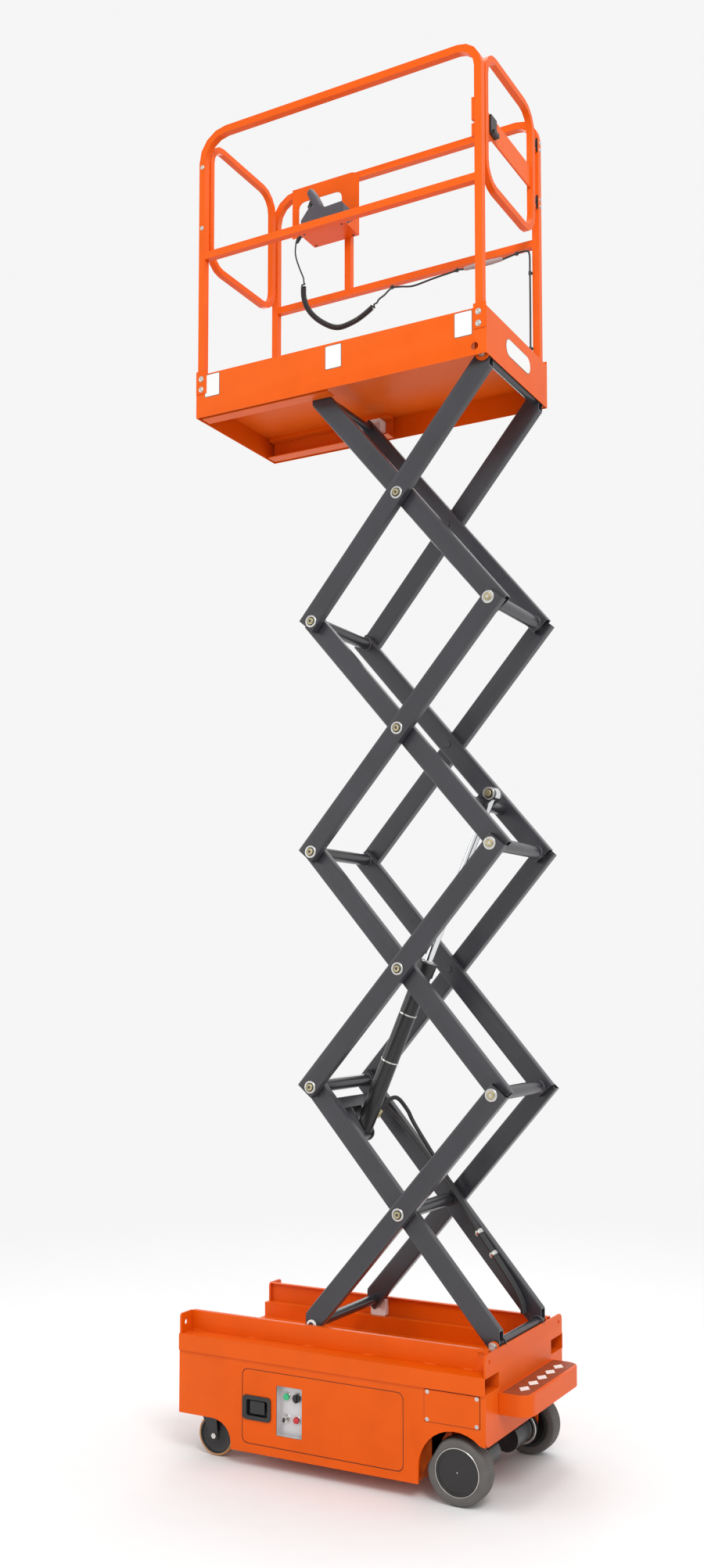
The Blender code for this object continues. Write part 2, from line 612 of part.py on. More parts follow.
def power_units():
    """Battery, hydraulic power unit and the two wheel motors."""
    low = FLOOR_PAN + 0.0043
    battery = solid([box(-0.340, -0.020, -0.200, 0.240, low, 0.285),
                     box(-0.330, -0.300, -0.150, -0.125, 0.280, 0.300),
                     box(-0.060, -0.030, 0.165, 0.190, 0.280, 0.300)])
    place(battery, "battery_pack", "black")
    unit = solid([box(-0.640, -0.400, -0.080, 0.120, low, 0.250),
                  round_bar([(-0.520, 0.020, 0.245), (-0.520, 0.020, 0.385)], 0.050, 16),
                  box(-0.460, -0.410, -0.050, 0.050, 0.245, 0.290)])
    place(unit, "hydraulic_unit", "black")
    for side, where in ((-1, "near"), (1, "far")):
        centre = (DRIVE_X, DRIVE_R)
        motor = solid([disc(centre, 0.052, "Y", *span(side, 0.080, 0.2500), 20),
                       disc(centre, 0.062, "Y", *span(side, 0.2350, 0.2617), 20),
                       disc(centre, 0.030, "Y", *span(side, 0.2600, 0.2740), 16),
                       disc(centre, 0.010, "Y", *span(side, 0.2600, 0.3400), 12)])
        place(motor, f"drive_motor_{where}", "black", pivot=(DRIVE_X, 0, DRIVE_R))


def drive_wheels():
    for side, where in ((-1, "near"), (1, "far")):
        centre = (DRIVE_X, DRIVE_R)
        pivot = (DRIVE_X, 0, DRIVE_R)
        tyre = solid([disc(centre, DRIVE_R, "Y", *span(side, 0.2840, 0.3600), 40)],
                     [disc(centre, 0.0870, "Y", *span(side, 0.270, 0.380), 32)])
        place(tyre, f"drive_tyre_{where}", "tyre", pivot=pivot)
        hub = solid([disc(centre, 0.0865, "Y", *span(side, 0.2850, 0.3575), 32)],
                    [disc(centre, 0.0740, "Y", *span(side, 0.3480, 0.380), 24),
                     disc(centre, 0.0740, "Y", *span(side, 0.270, 0.3000), 24),
                     disc(centre, 0.0103, "Y", *span(side, 0.270, 0.3403), 12)])
        place(hub, f"drive_hub_{where}", "black", pivot=pivot)


def casters():
    swivel = CASTER_X - CASTER_TRAIL
    for side, where in ((-1, "near"), (1, "far")):
        y = side * CASTER_Y
        leg = (arc(CASTER_X, CASTER_R, 0.017, 200, 360, 6)
               + [(swivel + 0.036, 0.166), (swivel - 0.036, 0.166)])
        fork = [disc((swivel, y), 0.040, "Z", 0.1635, 0.1700, 20),
                disc((swivel, y), 0.0080, "Z", 0.1650, 0.1880, 12)]
        for edge in (-0.0280, 0.0225):
            fork.append(prism(leg, "Y", y + edge, y + edge + 0.0055))
        fork.append(disc((CASTER_X, CASTER_R), 0.0060, "Y", y - 0.034, y + 0.034, 12))
        place(solid(fork), f"caster_fork_{where}", "black", pivot=(swivel, y, 0.170))
        wheel = solid([disc((CASTER_X, CASTER_R), CASTER_R, "Y", y - 0.0200, y + 0.0200, 36)],
                      [disc((CASTER_X, CASTER_R), 0.0064, "Y", y - 0.03, y + 0.03, 12)])
        place(wheel, f"caster_wheel_{where}", "polyurethane", pivot=(CASTER_X, y, CASTER_R))


# ---- platform -------------------------------------------------------------------------------
def platform_deck():
    skirt = 0.003
    pieces = [box(BACK_X, END_X, -SKIRT_Y, SKIRT_Y, DECK_BOTTOM, SKIRT_TOP)]
    cuts = [box(BACK_X + skirt, END_X - skirt, -SKIRT_Y + skirt, SKIRT_Y - skirt,
                DECK_Z, SKIRT_TOP + 0.1),
            box(BACK_X + skirt, END_X - skirt, -SKIRT_Y + skirt, SKIRT_Y - skirt,
                DECK_BOTTOM - 0.1, DECK_Z - 0.004)]
    tray = solid(pieces, cuts)

    def fittings(side):
        x, z = side_pin(STAGES, 1)
        bracket = arc(x, z, 0.030, 180, 360, 8) + [(x + 0.027, DECK_Z - 0.002),
                                                   (x - 0.030, DECK_Z - 0.002)]
        return [box(-0.905, -0.300, *span(side, 0.2300, 0.2852), 4.2016, 4.2062),
                box(-0.905, -0.300, *span(side, 0.2812, 0.2852), 4.2030, DECK_Z - 0.002),
                box(-0.905, -0.300, *span(side, 0.2350, 0.2830), 4.2794, DECK_Z - 0.002),
                prism(bracket, "Y", *span(side, 0.2720, 0.2800)),
                box(0.347, 0.399, *span(side, SKIRT_Y - 0.002, SKIRT_Y + 0.003), 4.300, 4.398),
                box(-0.919, -0.868, *span(side, SKIRT_Y - 0.002, SKIRT_Y + 0.003), 4.300, 4.398)]

    def holes(side):
        x, z = side_pin(STAGES, 1)
        return [disc((x, z), SHAFT_R + FIT, "Y", *span(side, 0.26, 0.30)),
                disc((0.351, 4.236), 0.015, "Y", *span(side, 0.29, 0.32))]

    place(solid([tray] + both(fittings), both(holes)), "platform_deck", "orange",
          pivot=(side_pin(STAGES, 1)[0], 0, side_pin(STAGES, 1)[1]))


def guard_side(side):
    y = side * POST_Y
    foot = DECK_Z + 0.0003
    half = TUBE / 2
    right = bent([(0, y, RAIL_TOP), (POST_NEAR_X, y, RAIL_TOP), (POST_NEAR_X, y, foot)], 0.085)
    left = bent([(POST_BACK_X, y, foot), (POST_BACK_X, y, RAIL_TOP), (0, y, RAIL_TOP)], 0.115)
    pieces = [square_bar(left + right[1:], (0, 1, 0)),
              box(POST_BACK_X, POST_NEAR_X, y - half + 0.0005, y + half - 0.0005,
                  RAIL_MID - half, RAIL_MID + half)]
    return pieces


HINGE_Z = (5.310, 5.066)
GATE_HINGE = (POST_NEAR_X, 0.2570)


def guard_rails():
    near = guard_side(-1)
    for z0, z1 in ((5.124, 5.212), (5.060, 5.109)):
        near.append(box(0.3400, 0.3560, -0.2980, -0.2820, z0, z1))
    near.append(disc((POST_NEAR_X, 5.170), 0.010, "Y", -0.2740, -0.2650, 12))
    place(solid(near), "guard_rail_near", "orange")

    far = guard_side(1)
    x, y = GATE_HINGE
    for z in HINGE_Z:
        far.append(box(x - 0.007, x + 0.007, y - 0.007, POST_Y - 0.010, z - 0.032, z - 0.026))
        far.append(round_bar([(x, y, z - 0.030), (x, y, z + 0.022)], 0.0045, 10, (0, 1, 0)))
    tube_x = -0.5210
    far.append(box(tube_x - 0.015, tube_x + 0.015, POST_Y - 0.0145, POST_Y + 0.0145,
                   RAIL_MID, RAIL_TOP))
    place(solid(far), "guard_rail_far", "orange")


def guard_end_loop():
    """Rounded loop between the back posts, stood off on four bolts."""
    x, y, size = POST_BACK_X, 0.244, 0.026
    loop = bent([(x, -y, 4.884), (x, y, 4.884), (x, y, RAIL_TOP), (x, -y, RAIL_TOP)], 0.085,
                closed=True)
    pieces = [square_bar(loop, (1, 0, 0), closed=True, size=size)]
    for side in (-1, 1):
        for z in (5.285, 5.020):
            pieces.append(disc((x, z), 0.008, "Y", *span(side, y, 0.2722), 12))
    place(solid(pieces), "guard_end_loop", "orange")


def entry_gate():
    """Drop-over gate that swings inwards on the far post, with a plate bar and a latch."""
    x, y_hinge = GATE_HINGE
    near, far, size = -0.244, 0.228, 0.026
    low = 4.905
    loop = bent([(x, near, low), (x, far, low), (x, far, RAIL_TOP), (x, near, RAIL_TOP)], 0.090,
                closed=True)
    pieces = [square_bar(loop, (1, 0, 0), closed=True, size=size),
              box(x - 0.004, x + 0.004, near, far, 5.100, 5.190)]
    for z in HINGE_Z:
        pieces.append(round_bar([(x, y_hinge, z - 0.0255), (x, y_hinge, z + 0.020)], 0.0100, 12,
                                (0, 1, 0)))
        pieces.append(box(x - 0.004, x + 0.004, far, y_hinge - 0.006, z - 0.020, z + 0.015))
    cuts = [round_bar([(x, y_hinge, z - 0.05), (x, y_hinge, z + 0.05)], 0.0050, 10, (0, 1, 0))
            for z in HINGE_Z]
    place(solid(pieces, cuts), "entry_gate", "orange", pivot=(x, y_hinge, 5.145))
    pivot = (x + 0.0085, -0.175, 5.175)
    latch = solid([box(x + 0.0045, x + 0.0130, -0.205, -0.150, 5.110, 5.186),
                   box(x + 0.0100, x + 0.0260, -0.200, -0.155, 5.108, 5.125)])
    place(latch, "gate_latch", "black", pivot=pivot)


SHELF = (-0.689, -0.461, 0.132, 0.2675)
SHELF_Z = 5.142


def platform_controls():
    """Plate hung on the far rail with a shelf, a control box and its joystick."""
    x0, x1, y0, y1 = SHELF
    left, top = -0.805, RAIL_TOP + 0.0175
    outline = [(left, top), (left, 5.210), (x0, 5.210), (x0, SHELF_Z), (x1, SHELF_Z)]
    outline += arc(x1 - 0.040, top - 0.040, 0.040, 0, 90, 4)
    plate = prism(outline, "Y", 0.2680, 0.2720)
    window = prism(rounded(-0.771, -0.548, 5.245, 5.370, 0.030, 3), "Y", 0.25, 0.28)
    lip = box(left, x1 - 0.040, 0.2680, 0.3060, RAIL_TOP + 0.0155, top)
    shelf = box(x0, x1, y0, y1 + 0.002, SHELF_Z, SHELF_Z + 0.003)
    gusset = prism([(y1 + 0.002, SHELF_Z), (y0 + 0.030, SHELF_Z), (y1 + 0.002, 5.225)], "X",
                   x1 - 0.003, x1)
    place(solid([plate, lip, shelf, gusset], [window]), "control_holder", "orange")
    bottom = SHELF_Z + 0.0033
    body = [(x0 + 0.006, bottom), (x1 - 0.006, bottom), (x1 - 0.006, 5.225),
            (x1 - 0.016, 5.240), (-0.560, 5.236), (-0.590, 5.255), (-0.640, 5.255),
            (x0 + 0.006, 5.205)]
    box_body = solid([prism(body, "Y", 0.140, 0.2600),
                      round_bar([(x0 + 0.010, 0.180, 5.160), (x0 - 0.024, 0.180, 5.157)], 0.008,
                                10, (0, 0, 1))])
    place(box_body, "control_box", "grip")
    pivot = (-0.622, 0.200, 5.262)
    grip = [(-0.622, 0.200, 5.2680), (-0.622, 0.200, 5.2760), (-0.640, 0.200, 5.306), (-0.667, 0.200, 5.352),
            (-0.676, 0.200, 5.366)]
    stick = solid([round_bar(grip, 0.019, 12),
                   disc((pivot[0], pivot[1]), 0.011, "Z", 5.2590, 5.272),
                   box(-0.690, -0.664, 0.190, 0.210, 5.288, 5.310),
                   box(-0.670, -0.640, 0.194, 0.206, 5.290, 5.312)])
    place(stick, "joystick", "grip", pivot=pivot)


# The lead leaves the control box, hangs in a coil and runs along the far middle rail.
LEAD_R, COIL_R = 0.0040, 0.0125
LEAD_ROUTE = [(-0.7150, 0.180, 5.157), (-0.724, 0.181, 5.154), (-0.733, 0.182, 5.132), (-0.737, 0.184, 5.085),
              (-0.722, 0.186, 5.030), (-0.700, 0.188, 4.974), (-0.697, 0.190, 4.955)]
COIL_ROUTE = [(-0.697, 0.190, 4.955), (-0.696, 0.190, 4.880), (-0.668, 0.190, 4.812),
              (-0.608, 0.192, 4.750), (-0.530, 0.196, 4.708), (-0.452, 0.202, 4.718),
              (-0.392, 0.210, 4.748), (-0.345, 0.220, 4.786)]
TAIL_ROUTE = [(-0.345, 0.220, 4.786), (-0.318, 0.236, 4.820), (-0.292, 0.256, 4.854),
              (-0.250, 0.260, 4.852), (-0.190, 0.262, 4.842), (-0.090, 0.262, 4.852),
              (0.025, 0.262, 4.860), (0.040, 0.262, 4.858), (0.0500, 0.262, 4.858)]
RAIL_ROUTE = [(0.228, 0.262, 4.856), (0.285, 0.262, 4.864), (0.325, 0.262, 4.866),
              (0.345, 0.262, 4.850), (0.347, 0.262, 4.770), (0.3475, 0.262, 4.610),
              (0.347, 0.262, 4.450), (0.347, 0.262, 4.330), (0.347, 0.262, 4.302)]


def control_cable():
    lead = round_bar(curved(LEAD_ROUTE, 4), LEAD_R)
    coil = round_bar(curved(COIL_ROUTE, 4), COIL_R, 10)
    place(solid([coil, lead]), "curly_cable", "black")
    place(round_bar(curved([(x + 0.004 * (i == 0), y, z + 0.016 * (i == 0))
                            for i, (x, y, z) in enumerate(TAIL_ROUTE)], 3), LEAD_R),
          "cable_tail", "black")
    plug = [(0.0510, 0.262, 4.858), (0.0900, 0.262, 4.858)]
    place(solid([round_bar(plug, 0.0085, 10), round_bar([(0.080, 0.262, 4.858),
                (0.195, 0.262, 4.857)], 0.0110, 12), round_bar([(0.190, 0.262, 4.857),
                (0.2272, 0.262, 4.856)], 0.0085, 10)]), "cable_connector", "connector")
    place(round_bar(curved(RAIL_ROUTE, 3), LEAD_R), "rail_cable", "black")


# ---- build ----------------------------------------------------------------------------------
chassis()
track_rails()
end_step()
side_cover()
access_door()
ground_controls()
power_units()
drive_wheels()
casters()
for level in range(1, STAGES + 1):
    inner_frame(level)
    outer_frame(level)
scissor_pins()
slide_blocks()
lift_cylinder()
hoses()
platform_deck()
guard_rails()
guard_end_loop()
entry_gate()
platform_controls()
control_cable()
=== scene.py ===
"""Looks of the mini scissor lift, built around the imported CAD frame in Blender 4.5."""
import json
import math

import bmesh
import bpy
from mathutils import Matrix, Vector


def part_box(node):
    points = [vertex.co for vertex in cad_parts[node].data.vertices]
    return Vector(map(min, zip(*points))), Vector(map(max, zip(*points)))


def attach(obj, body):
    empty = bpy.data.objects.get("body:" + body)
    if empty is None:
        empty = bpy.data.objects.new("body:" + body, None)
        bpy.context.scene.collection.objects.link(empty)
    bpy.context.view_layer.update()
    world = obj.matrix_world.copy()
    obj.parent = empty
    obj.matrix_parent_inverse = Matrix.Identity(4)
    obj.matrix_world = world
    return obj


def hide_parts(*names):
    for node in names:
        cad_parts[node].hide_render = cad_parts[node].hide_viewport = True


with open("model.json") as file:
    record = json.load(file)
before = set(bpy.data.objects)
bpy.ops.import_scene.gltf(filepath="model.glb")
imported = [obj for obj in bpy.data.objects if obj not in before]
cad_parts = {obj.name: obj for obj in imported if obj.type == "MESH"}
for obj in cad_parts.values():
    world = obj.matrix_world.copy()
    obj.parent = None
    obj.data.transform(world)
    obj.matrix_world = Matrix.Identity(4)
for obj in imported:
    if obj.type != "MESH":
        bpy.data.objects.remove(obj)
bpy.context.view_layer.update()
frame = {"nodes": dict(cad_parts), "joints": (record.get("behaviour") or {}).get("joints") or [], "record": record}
NODES = frame["nodes"]
JOINT = {joint["name"]: joint for joint in frame["joints"]}
STAGES = 4
SIDES = ((-1, "near"), (1, "far"))


def at_joint(name):
    return Vector(JOINT[name]["pos_m"])


COLUMN_X = at_joint("centre_1").x


# ---- materials ------------------------------------------------------------------------------
def finish(name, colour, roughness, metallic=0.0, grain=0.0, grain_scale=400.0, mottle=0.0,
           mottle_scale=9.0, coat=0.0, edge_highlight=0.0, sheen=0.0, specular=0.5):
    """A painted, plated or moulded surface: colour drift, roughness drift, a fine bump and an optional painted
    highlight that lightens convex edges.
    """
    made = bpy.data.materials.new(name)
    made.use_nodes = True
    nodes, links = made.node_tree.nodes, made.node_tree.links
    shader = nodes["Principled BSDF"]
    shader.inputs["Metallic"].default_value = metallic
    shader.inputs["Coat Weight"].default_value = coat
    shader.inputs["Coat Roughness"].default_value = 0.25
    shader.inputs["Specular IOR Level"].default_value = specular
    shader.inputs["Sheen Weight"].default_value = sheen
    place = nodes.new("ShaderNodeTexCoord")

    def noise(scale, detail):
        made_noise = nodes.new("ShaderNodeTexNoise")
        made_noise.inputs["Scale"].default_value = scale
        made_noise.inputs["Detail"].default_value = detail
        links.new(place.outputs["Object"], made_noise.inputs["Vector"])
        return made_noise.outputs["Fac"]

    drift = noise(mottle_scale, 6.0)
    ramp = nodes.new("ShaderNodeValToRGB")
    ramp.color_ramp.elements[0].position = 0.30
    ramp.color_ramp.elements[1].position = 0.72
    ramp.color_ramp.elements[0].color = (*[c * (1 - mottle) for c in colour], 1)
    ramp.color_ramp.elements[1].color = (*[min(1, c * (1 + 0.6 * mottle)) for c in colour], 1)
    links.new(drift, ramp.inputs["Fac"])
    out = ramp.outputs["Color"]
    # painted highlight: convex edges, found by pointiness, are mixed towards a lighter copy of the colour,
    # standing in for light caught on the edges
    if edge_highlight:
        edge = nodes.new("ShaderNodeNewGeometry")
        edge_highlight_mask = nodes.new("ShaderNodeMapRange")
        edge_highlight_mask.inputs["From Min"].default_value = 0.52
        edge_highlight_mask.inputs["From Max"].default_value = 0.62
        edge_highlight_mask.inputs["To Max"].default_value = edge_highlight
        links.new(edge.outputs["Pointiness"], edge_highlight_mask.inputs["Value"])
        edge_highlight_mix = nodes.new("ShaderNodeMix")
        edge_highlight_mix.data_type = "RGBA"
        edge_highlight_mix.inputs[7].default_value = (*[min(1, 0.06 + c * 1.9) for c in colour], 1)
        links.new(edge_highlight_mask.outputs["Result"], edge_highlight_mix.inputs[0])
        links.new(out, edge_highlight_mix.inputs[6])
        out = edge_highlight_mix.outputs[2]
    links.new(out, shader.inputs["Base Color"])
    rough = nodes.new("ShaderNodeMapRange")
    rough.inputs["To Min"].default_value = max(0.02, roughness - 0.06)
    rough.inputs["To Max"].default_value = min(1.0, roughness + 0.06)
    links.new(noise(mottle_scale * 4, 4.0), rough.inputs["Value"])
    links.new(rough.outputs["Result"], shader.inputs["Roughness"])
    if grain:
        bump = nodes.new("ShaderNodeBump")
        bump.inputs["Strength"].default_value = grain
        bump.inputs["Distance"].default_value = 0.0004
        links.new(noise(grain_scale, 3.0), bump.inputs["Height"])
        links.new(bump.outputs["Normal"], shader.inputs["Normal"])
    return made


MAT = {
    # orange_paint and charcoal_paint get a painted edge highlight: their convex edges are lightened
    "orange_paint": finish("orange_powder_coat", (0.70, 0.090, 0.0), 0.38, grain=0.14,
                           grain_scale=260, mottle=0.05, edge_highlight=0.10, specular=0.16),
    "charcoal_paint": finish("charcoal_paint", (0.030, 0.029, 0.035), 0.30, 0.0, grain=0.12,
                             grain_scale=300, mottle=0.14, mottle_scale=5, coat=0.15, edge_highlight=0.25),
    "zinc_plate": finish("zinc_plate", (0.66, 0.65, 0.62), 0.30, 1.0, grain=0.10, mottle=0.15,
                         mottle_scale=60),
    "pin_steel": finish("yellow_zinc_pin", (0.50, 0.43, 0.25), 0.34, 1.0, grain=0.10,
                        mottle=0.25, mottle_scale=70),
    "white_nylon": finish("white_nylon", (0.80, 0.80, 0.77), 0.48, grain=0.10, mottle=0.05,
                          sheen=0.1),
    "black_paint": finish("black_paint", (0.010, 0.010, 0.011), 0.34, grain=0.12, mottle=0.2,
                          coat=0.15),
    "rod_chrome": finish("hard_chrome", (0.74, 0.75, 0.77), 0.10, 1.0, mottle=0.04),
    "hose_rubber": finish("hose_rubber", (0.016, 0.016, 0.018), 0.46, grain=0.25,
                          grain_scale=700, mottle=0.2),
    "black_plastic": finish("black_plastic", (0.014, 0.014, 0.015), 0.42, grain=0.35,
                            grain_scale=900, mottle=0.15),
    "grip_plastic": finish("grip_plastic", (0.065, 0.063, 0.075), 0.55, grain=0.45,
                           grain_scale=1100, mottle=0.12),
    "connector_plastic": finish("connector_plastic", (0.33, 0.29, 0.29), 0.55, grain=0.35,
                                grain_scale=900, mottle=0.12),
    "tyre_rubber": finish("grey_tyre_rubber", (0.105, 0.098, 0.093), 0.72, grain=0.5,
                          grain_scale=500, mottle=0.14, mottle_scale=20),
    "polyurethane": finish("tan_polyurethane", (0.46, 0.22, 0.075), 0.42, grain=0.1,
                           mottle=0.15, mottle_scale=25, coat=0.2),
    "panel_metal": finish("brushed_panel", (0.62, 0.61, 0.62), 0.42, 0.35, grain=0.15,
                          mottle=0.06),
    "green_plastic": finish("green_lens", (0.015, 0.46, 0.17), 0.25, coat=0.6, mottle=0.1),
    "red_plastic": finish("red_cap", (0.52, 0.008, 0.016), 0.30, coat=0.5, mottle=0.08),
    "label_white": finish("label_white", (0.74, 0.74, 0.73), 0.40, mottle=0.02),
    "label_edge": finish("label_edge", (0.14, 0.13, 0.13), 0.45, mottle=0.05),
    "tread_white": finish("tread_white", (0.84, 0.83, 0.80), 0.55, mottle=0.08,
                          mottle_scale=30),
    "weld": finish("weld_bead", (0.10, 0.095, 0.10), 0.30, 0.6, grain=0.5, grain_scale=600,
                   mottle=0.4, mottle_scale=120),
    "step_wear": finish("worn_step_paint", (0.20, 0.075, 0.045), 0.42, 0.35, grain=0.3,
                        grain_scale=500, mottle=0.45, mottle_scale=40),
    # painted shade for the door and cover seams
    "painted_seam_shade": finish("seam_shadow", (0.085, 0.016, 0.004), 0.6, mottle=0.2),
}

for entry in frame["record"]["subparts"]:
    node = NODES[entry["node"]]
    node.data.materials.clear()
    node.data.materials.append(MAT[entry["material_slot"]])


# ---- smooth edges on the CAD solids ---------------------------------------------------------
def soften(node, width, angle=35, segments=2):
    """Weld, flatten and bevel a CAD solid so that its edges catch the light."""
    weld = node.modifiers.new("weld", "WELD")
    weld.merge_threshold = 0.00002
    flat = node.modifiers.new("flat", "DECIMATE")
    flat.decimate_type = "DISSOLVE"
    flat.angle_limit = math.radians(0.5)
    bevel = node.modifiers.new("bevel", "BEVEL")
    bevel.width = width
    bevel.segments = segments
    bevel.limit_method = "ANGLE"
    bevel.angle_limit = math.radians(angle)
    bevel.use_clamp_overlap = True
    bevel.harden_normals = False
    node.data.shade_smooth()
    weighted = node.modifiers.new("weighted", "WEIGHTED_NORMAL")
    weighted.keep_sharp = True


for name, node in NODES.items():
    width = 0.0012
    if name.startswith(("guard_", "entry_gate")):
        width = 0.0045
    if name in ("chassis", "platform_deck", "access_door", "latch_bezel", "latch_paddle"):
        width = 0.0011
    soften(node, width, segments=3 if width > 0.004 else 2)


# ---- shape helpers --------------------------------------------------------------------------
def piece(name, mesh, material, body, smooth=True, bevel=0.0):
    mesh.name = name
    mesh.materials.append(MAT[material])
    made = bpy.data.objects.new(name, mesh)
    bpy.context.scene.collection.objects.link(made)
    if smooth:
        mesh.shade_smooth()
        mesh.set_sharp_from_angle(angle=math.radians(38))
    if bevel:
        edge = made.modifiers.new("bevel", "BEVEL")
        edge.width, edge.segments = bevel, 2
        edge.limit_method, edge.angle_limit = "ANGLE", math.radians(35)
    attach(made, body)
    return made


def basis(along):
    """Two directions square to this one."""
    along = Vector(along).normalized()
    first = along.orthogonal().normalized()
    if abs(along.y) > 0.9:
        first = Vector((1, 0, 0))
    return first, along.cross(first)


def turned_mesh(profile, at, along, segments=32, into=None):
    """Revolve (distance along the axis, radius) points. A radius of 0 closes an end."""
    shape = into or bmesh.new()
    along = Vector(along).normalized()
    first, second = basis(along)
    rings = []
    for reach, radius in profile:
        centre = Vector(at) + along * reach
        if radius == 0:
            rings.append([shape.verts.new(centre)])
            continue
        rings.append([shape.verts.new(centre + (first * math.cos(t) + second * math.sin(t))
                                      * radius)
                      for t in (2 * math.pi * k / segments for k in range(segments))])
    for a, b in zip(rings, rings[1:]):
        for k in range(segments):
            j = (k + 1) % segments
            corners = [a[k % len(a)], a[j % len(a)], b[j % len(b)], b[k % len(b)]]
            corners = list(dict.fromkeys(corners))
            if len(corners) > 2:
                shape.faces.new(corners)
    if into:
        return shape
    return to_mesh(shape)


def to_mesh(shape):
    bmesh.ops.recalc_face_normals(shape, faces=shape.faces)
    mesh = bpy.data.meshes.new("piece")
    shape.to_mesh(mesh)
    shape.free()
    return mesh


def turned(name, profile, at, along, material, body, segments=32):
    return piece(name, turned_mesh(profile, at, along, segments), material, body)


def slab(outline, normal, at, up, thickness, into=None):
    """A plate from an outline of (across, up) points, its back face at a point."""
    shape = into or bmesh.new()
    normal, up = Vector(normal).normalized(), Vector(up).normalized()
    across = up.cross(normal)
    low = [shape.verts.new(Vector(at) + across * u + up * v) for u, v in outline]
    high = [shape.verts.new(Vector(at) + across * u + up * v + normal * thickness)
            for u, v in outline]
    shape.faces.new(low[::-1])
    shape.faces.new(high)
    for k in range(len(outline)):
        j = (k + 1) % len(outline)
        shape.faces.new([low[k], low[j], high[j], high[k]])
    return shape if into else to_mesh(shape)


def rounded(half_u, half_v, radius, steps=5):
    points = []
    for quarter, (su, sv) in enumerate(((1, 1), (-1, 1), (-1, -1), (1, -1))):
        for k in range(steps + 1):
            t = math.pi / 2 * (quarter + k / steps)
            points.append((su * (half_u - radius) + radius * math.cos(t),
                           sv * (half_v - radius) + radius * math.sin(t)))
    return points


def hexagon(radius):
    return [(radius * math.cos(math.pi / 3 * k), radius * math.sin(math.pi / 3 * k))
            for k in range(6)]


def smooth_path(points, steps=8):
    ends = [2 * Vector(points[0]) - Vector(points[1]), *map(Vector, points),
            2 * Vector(points[-1]) - Vector(points[-2])]
    path = []
    for a, b, c, d in zip(ends, ends[1:], ends[2:], ends[3:]):
        for k in range(steps):
            t = k / steps
            path.append(0.5 * (2 * b + (c - a) * t + (2 * a - 5 * b + 4 * c - d) * t * t
                               + (3 * b - a - 3 * c + d) * t ** 3))
    return path + [Vector(points[-1])]


def cable(name, path, radius, material, body, resolution=4):
    curve = bpy.data.curves.new(name, "CURVE")
    curve.dimensions = "3D"
    spline = curve.splines.new("POLY")
    spline.points.add(len(path) - 1)
    for point, place in zip(spline.points, path):
        point.co = (*place, 1)
    curve.bevel_depth, curve.bevel_resolution = radius, resolution
    curve.use_fill_caps = True
    curve.materials.append(MAT[material])
    made = bpy.data.objects.new(name, curve)
    bpy.context.scene.collection.objects.link(made)
    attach(made, body)
    return made


def length_of(path):
    return sum((b - a).length for a, b in zip(path, path[1:]))


def bolt(name, at, along, body, radius=0.008, height=0.005, material="zinc_plate"):
    """Washer and domed cap-screw head with a socket."""
    r, h = radius, height
    profile = [(0, 0), (0, r * 1.35), (h * 0.25, r * 1.35), (h * 0.28, r), (h * 0.8, r * 0.97),
               (h, r * 0.72), (h, r * 0.42), (h * 0.45, r * 0.40), (h * 0.45, 0)]
    return turned(name, profile, at, along, material, body, 24)


# ---- scissor pins, washers and welds --------------------------------------------------------
def scissor_fittings():
    """Zinc washers, yellow pin heads and weld beads on every pivot of the column."""
    arm_face, arm_inside, tube_radius = 0.2680, 0.1838, 0.0255
    washer = [(0.0, 0.0172), (0.0, 0.0243), (0.0026, 0.0246), (0.0040, 0.0232),
              (0.0044, 0.0178), (0.0036, 0.0172), (0.0, 0.0172)]
    cap = [(0.0038, 0.0142), (0.0078, 0.0140), (0.0094, 0.0126), (0.0097, 0.0070),
           (0.0085, 0.0050), (0.0085, 0.0)]
    pins = [(f"centre_{k}", at_joint(f"centre_{k}"), f"outer_{k}") for k in range(1, STAGES + 1)]
    pins += [(f"side_{k}", at_joint(f"side_{k}"), f"outer_{k}") for k in range(1, STAGES)]
    for k in range(1, STAGES):
        back = at_joint(f"side_{k}").copy()
        back.x = 2 * COLUMN_X - back.x
        pins.append((f"back_{k}", back, f"outer_{k + 1}"))
    for label, pin, body in pins:
        for side, where in SIDES:
            at = (pin.x, side * arm_face, pin.z)
            turned(f"washer_{label}_{where}", washer, at, (0, side, 0), "zinc_plate", body, 40)
            turned(f"pin_head_{label}_{where}", cap, at, (0, side, 0), "pin_steel", body, 32)
    for k in range(1, STAGES + 1):
        body = f"inner_{k}"
        low = at_joint("lift") if k == 1 else at_joint(f"side_{k - 1}")
        spots = [low]
        if k < STAGES:
            back = at_joint(f"side_{k}").copy()
            back.x = 2 * COLUMN_X - back.x
            spots.append(back)
        if k == 1:
            spots.append(at_joint("centre_1"))
        for number, pin in enumerate(spots):
            for side, where in SIDES:
                weld_ring(f"weld_inner_{k}_{number}_{where}", (pin.x, side * arm_inside, pin.z),
                          tube_radius, side, body)


